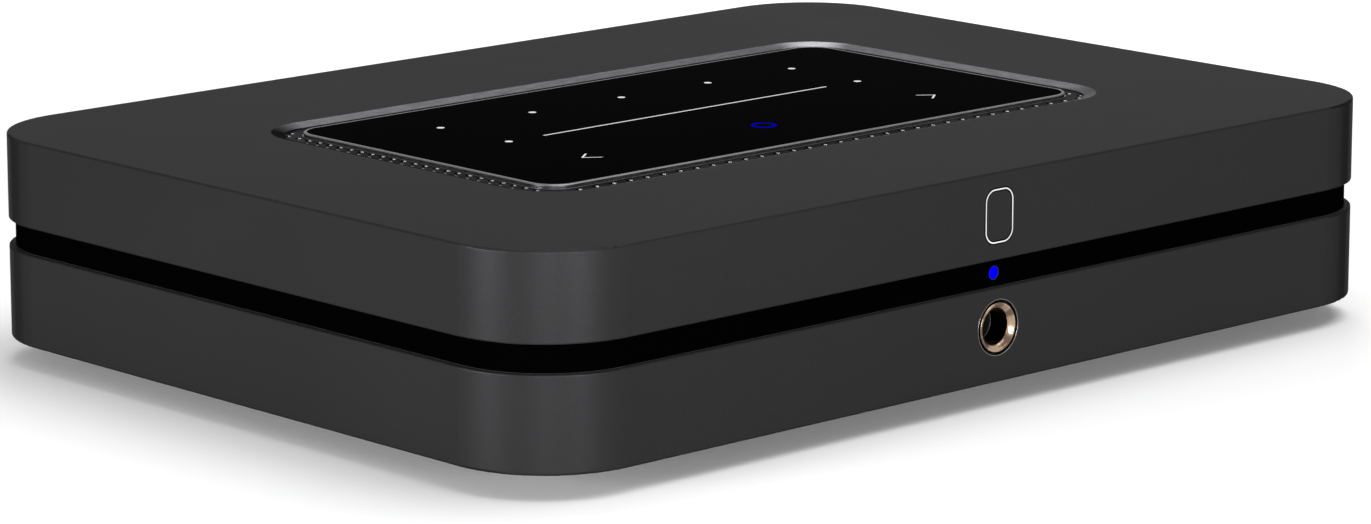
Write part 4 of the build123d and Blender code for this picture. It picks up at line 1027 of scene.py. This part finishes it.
class STREAMER_OT_studio(StreamerOperator, Operator):
    """Build the floor, the lights and the camera"""

    bl_idname = "streamer.studio"
    bl_label = "Studio"

    def execute(self, context):
        self.floor(self.stage)
        self.sky(self.stage)
        for lamp in self.lamps():
            self.softbox(*lamp)
        self.camera(self.stage)
        context.scene.view_settings.view_transform = "Standard"
        return {"FINISHED"}

    @staticmethod
    def lamps():
        """Name, place, aim, breadth, height and power of each softbox."""
        return (
            ("top_softbox", (0.14, -0.20, 0.9), (0.0, 0.0, 0.03), 0.8, 0.8, 5.6),
            ("front_softbox", (-0.24, -0.90, 0.11), (-0.1, -0.08, 0.03), 0.28, 0.20, 5.4),
            ("side_softbox", (-0.90, 0.08, 0.11), (-0.11, -0.05, 0.03), 0.28, 0.20, 6.6),
            ("corner_softbox", (-1.10, -1.16, 0.18), (-0.1, -0.08, 0.03), 0.40, 0.30, 13.0),
            ("rear_softbox", (0.55, 0.60, 0.75), (0.0, 0.0, 0.04), 0.5, 0.3, 2.2),
        )

    def floor(self, stage):
        """A wide pale floor. The camera sees it white, and the object gets less light from it."""
        reach, shadow = stage.floor_reach, stage.shadow_reach
        mesh = bpy.data.meshes.new("studio_floor")
        corners = [(-reach, -reach, 0), (reach, -reach, 0), (reach, reach, 0), (-reach, reach, 0)]
        mesh.from_pydata(corners, [], [(0, 1, 2, 3)])
        floor = bpy.data.objects.new("studio_floor", mesh)
        bpy.context.scene.collection.objects.link(floor)
        material, tree, shader = new_material("studio_floor", Roughness=0.9, Specular_IOR_Level=0.0,
                                              Emission_Color=grey(1.0))
        seen = self.seen(tree)
        colour_of(tree, shader, mix_colour(tree, seen, grey(stage.floor_bounce), stage.floor_colour))
        away = length_of(tree, position(tree))
        glow = remap(tree, away, shadow, 3 * shadow, stage.near_glow, stage.far_glow)
        tree.links.new(product(tree, seen, glow), shader.inputs["Emission Strength"])
        mesh.materials.append(material)

    @staticmethod
    def seen(tree):
        """One for what the camera sees, straight or in gloss and glass, and zero for plain light."""
        path = add(tree, "ShaderNodeLightPath").outputs
        both = calculate(tree, "MAXIMUM", path["Is Camera Ray"], path["Is Glossy Ray"])
        return calculate(tree, "MAXIMUM", both, path["Is Transmission Ray"])

    def sky(self, stage):
        """A white background that gives a softer light than it shows."""
        world = bpy.data.worlds.new("studio_sky")
        world.use_nodes = True
        tree = world.node_tree
        background = tree.nodes["Background"]
        strength = blend(tree, self.seen(tree), stage.sky_light, 1.0)
        background.inputs["Color"].default_value = (1, 1, 1, 1)
        tree.links.new(strength, background.inputs["Strength"])
        bpy.context.scene.world = world

    @staticmethod
    def softbox(name, place, aim, breadth, height, power):
        lamp = bpy.data.lights.new(name, "AREA")
        lamp.shape = "RECTANGLE"
        lamp.size, lamp.size_y, lamp.energy = breadth, height, power
        holder = bpy.data.objects.new(name, lamp)
        holder.location = place
        holder.rotation_euler = (Vector(aim) - Vector(place)).to_track_quat("-Z", "Y").to_euler()
        bpy.context.scene.collection.objects.link(holder)

    @staticmethod
    def camera(stage):
        data = bpy.data.cameras.new("camera")
        data.lens = stage.lens
        data.sensor_width = 36.0
        data.shift_x, data.shift_y = stage.shift_across, stage.shift_up
        data.clip_start, data.clip_end = 0.05, 50.0
        camera = bpy.data.objects.new("camera", data)
        turn, rise = stage.camera_turn, stage.camera_rise
        back = Vector((math.sin(turn) * math.cos(rise), -math.cos(turn) * math.cos(rise), math.sin(rise)))
        camera.location = Vector((0, 0, stage.target_height)) + back * stage.camera_distance
        camera.rotation_euler = (-back).to_track_quat("-Z", "Y").to_euler()
        bpy.context.scene.collection.objects.link(camera)
        bpy.context.scene.camera = camera


class STREAMER_PT_sidebar(Panel):
    """The streamer's operators and properties in the sidebar"""

    bl_idname = "STREAMER_PT_sidebar"
    bl_label = "Music streamer"
    bl_space_type = "VIEW_3D"
    bl_region_type = "UI"
    bl_category = "Streamer"

    def draw(self, context):
        for operator in OPERATORS:
            self.layout.operator(operator.bl_idname)
        scene = context.scene
        for group in (scene.streamer_finish, scene.streamer_detail, scene.streamer_stage):
            box = self.layout.box()
            for name in group.__annotations__:
                box.prop(group, name)


OPERATORS = (
    STREAMER_OT_casings,
    STREAMER_OT_feet,
    STREAMER_OT_screws,
    STREAMER_OT_touch_panel,
    STREAMER_OT_vent,
    STREAMER_OT_badge,
    STREAMER_OT_status_light,
    STREAMER_OT_headphone_socket,
    STREAMER_OT_rear_panel,
    STREAMER_OT_power_inlet,
    STREAMER_OT_data_sockets,
    STREAMER_OT_optical_output,
    STREAMER_OT_minijacks,
    STREAMER_OT_phono_sockets,
    STREAMER_OT_main_board,
    STREAMER_OT_power_board,
    STREAMER_OT_studio,
)
CLASSES = (StreamerFinish, StreamerDetail, StreamerStage, *OPERATORS, STREAMER_PT_sidebar)


def register():
    for cls in CLASSES:
        bpy.utils.register_class(cls)
    bpy.types.Scene.streamer_finish = PointerProperty(type=StreamerFinish)
    bpy.types.Scene.streamer_detail = PointerProperty(type=StreamerDetail)
    bpy.types.Scene.streamer_stage = PointerProperty(type=StreamerStage)


def unregister():
    del bpy.types.Scene.streamer_stage
    del bpy.types.Scene.streamer_detail
    del bpy.types.Scene.streamer_finish
    for cls in reversed(CLASSES):
        bpy.utils.unregister_class(cls)


def main():
    """Builds everything in order."""
    register()
    for operator in OPERATORS:
        getattr(bpy.ops.streamer, operator.bl_idname.split(".")[1])()


if __name__ == "__main__":
    main()
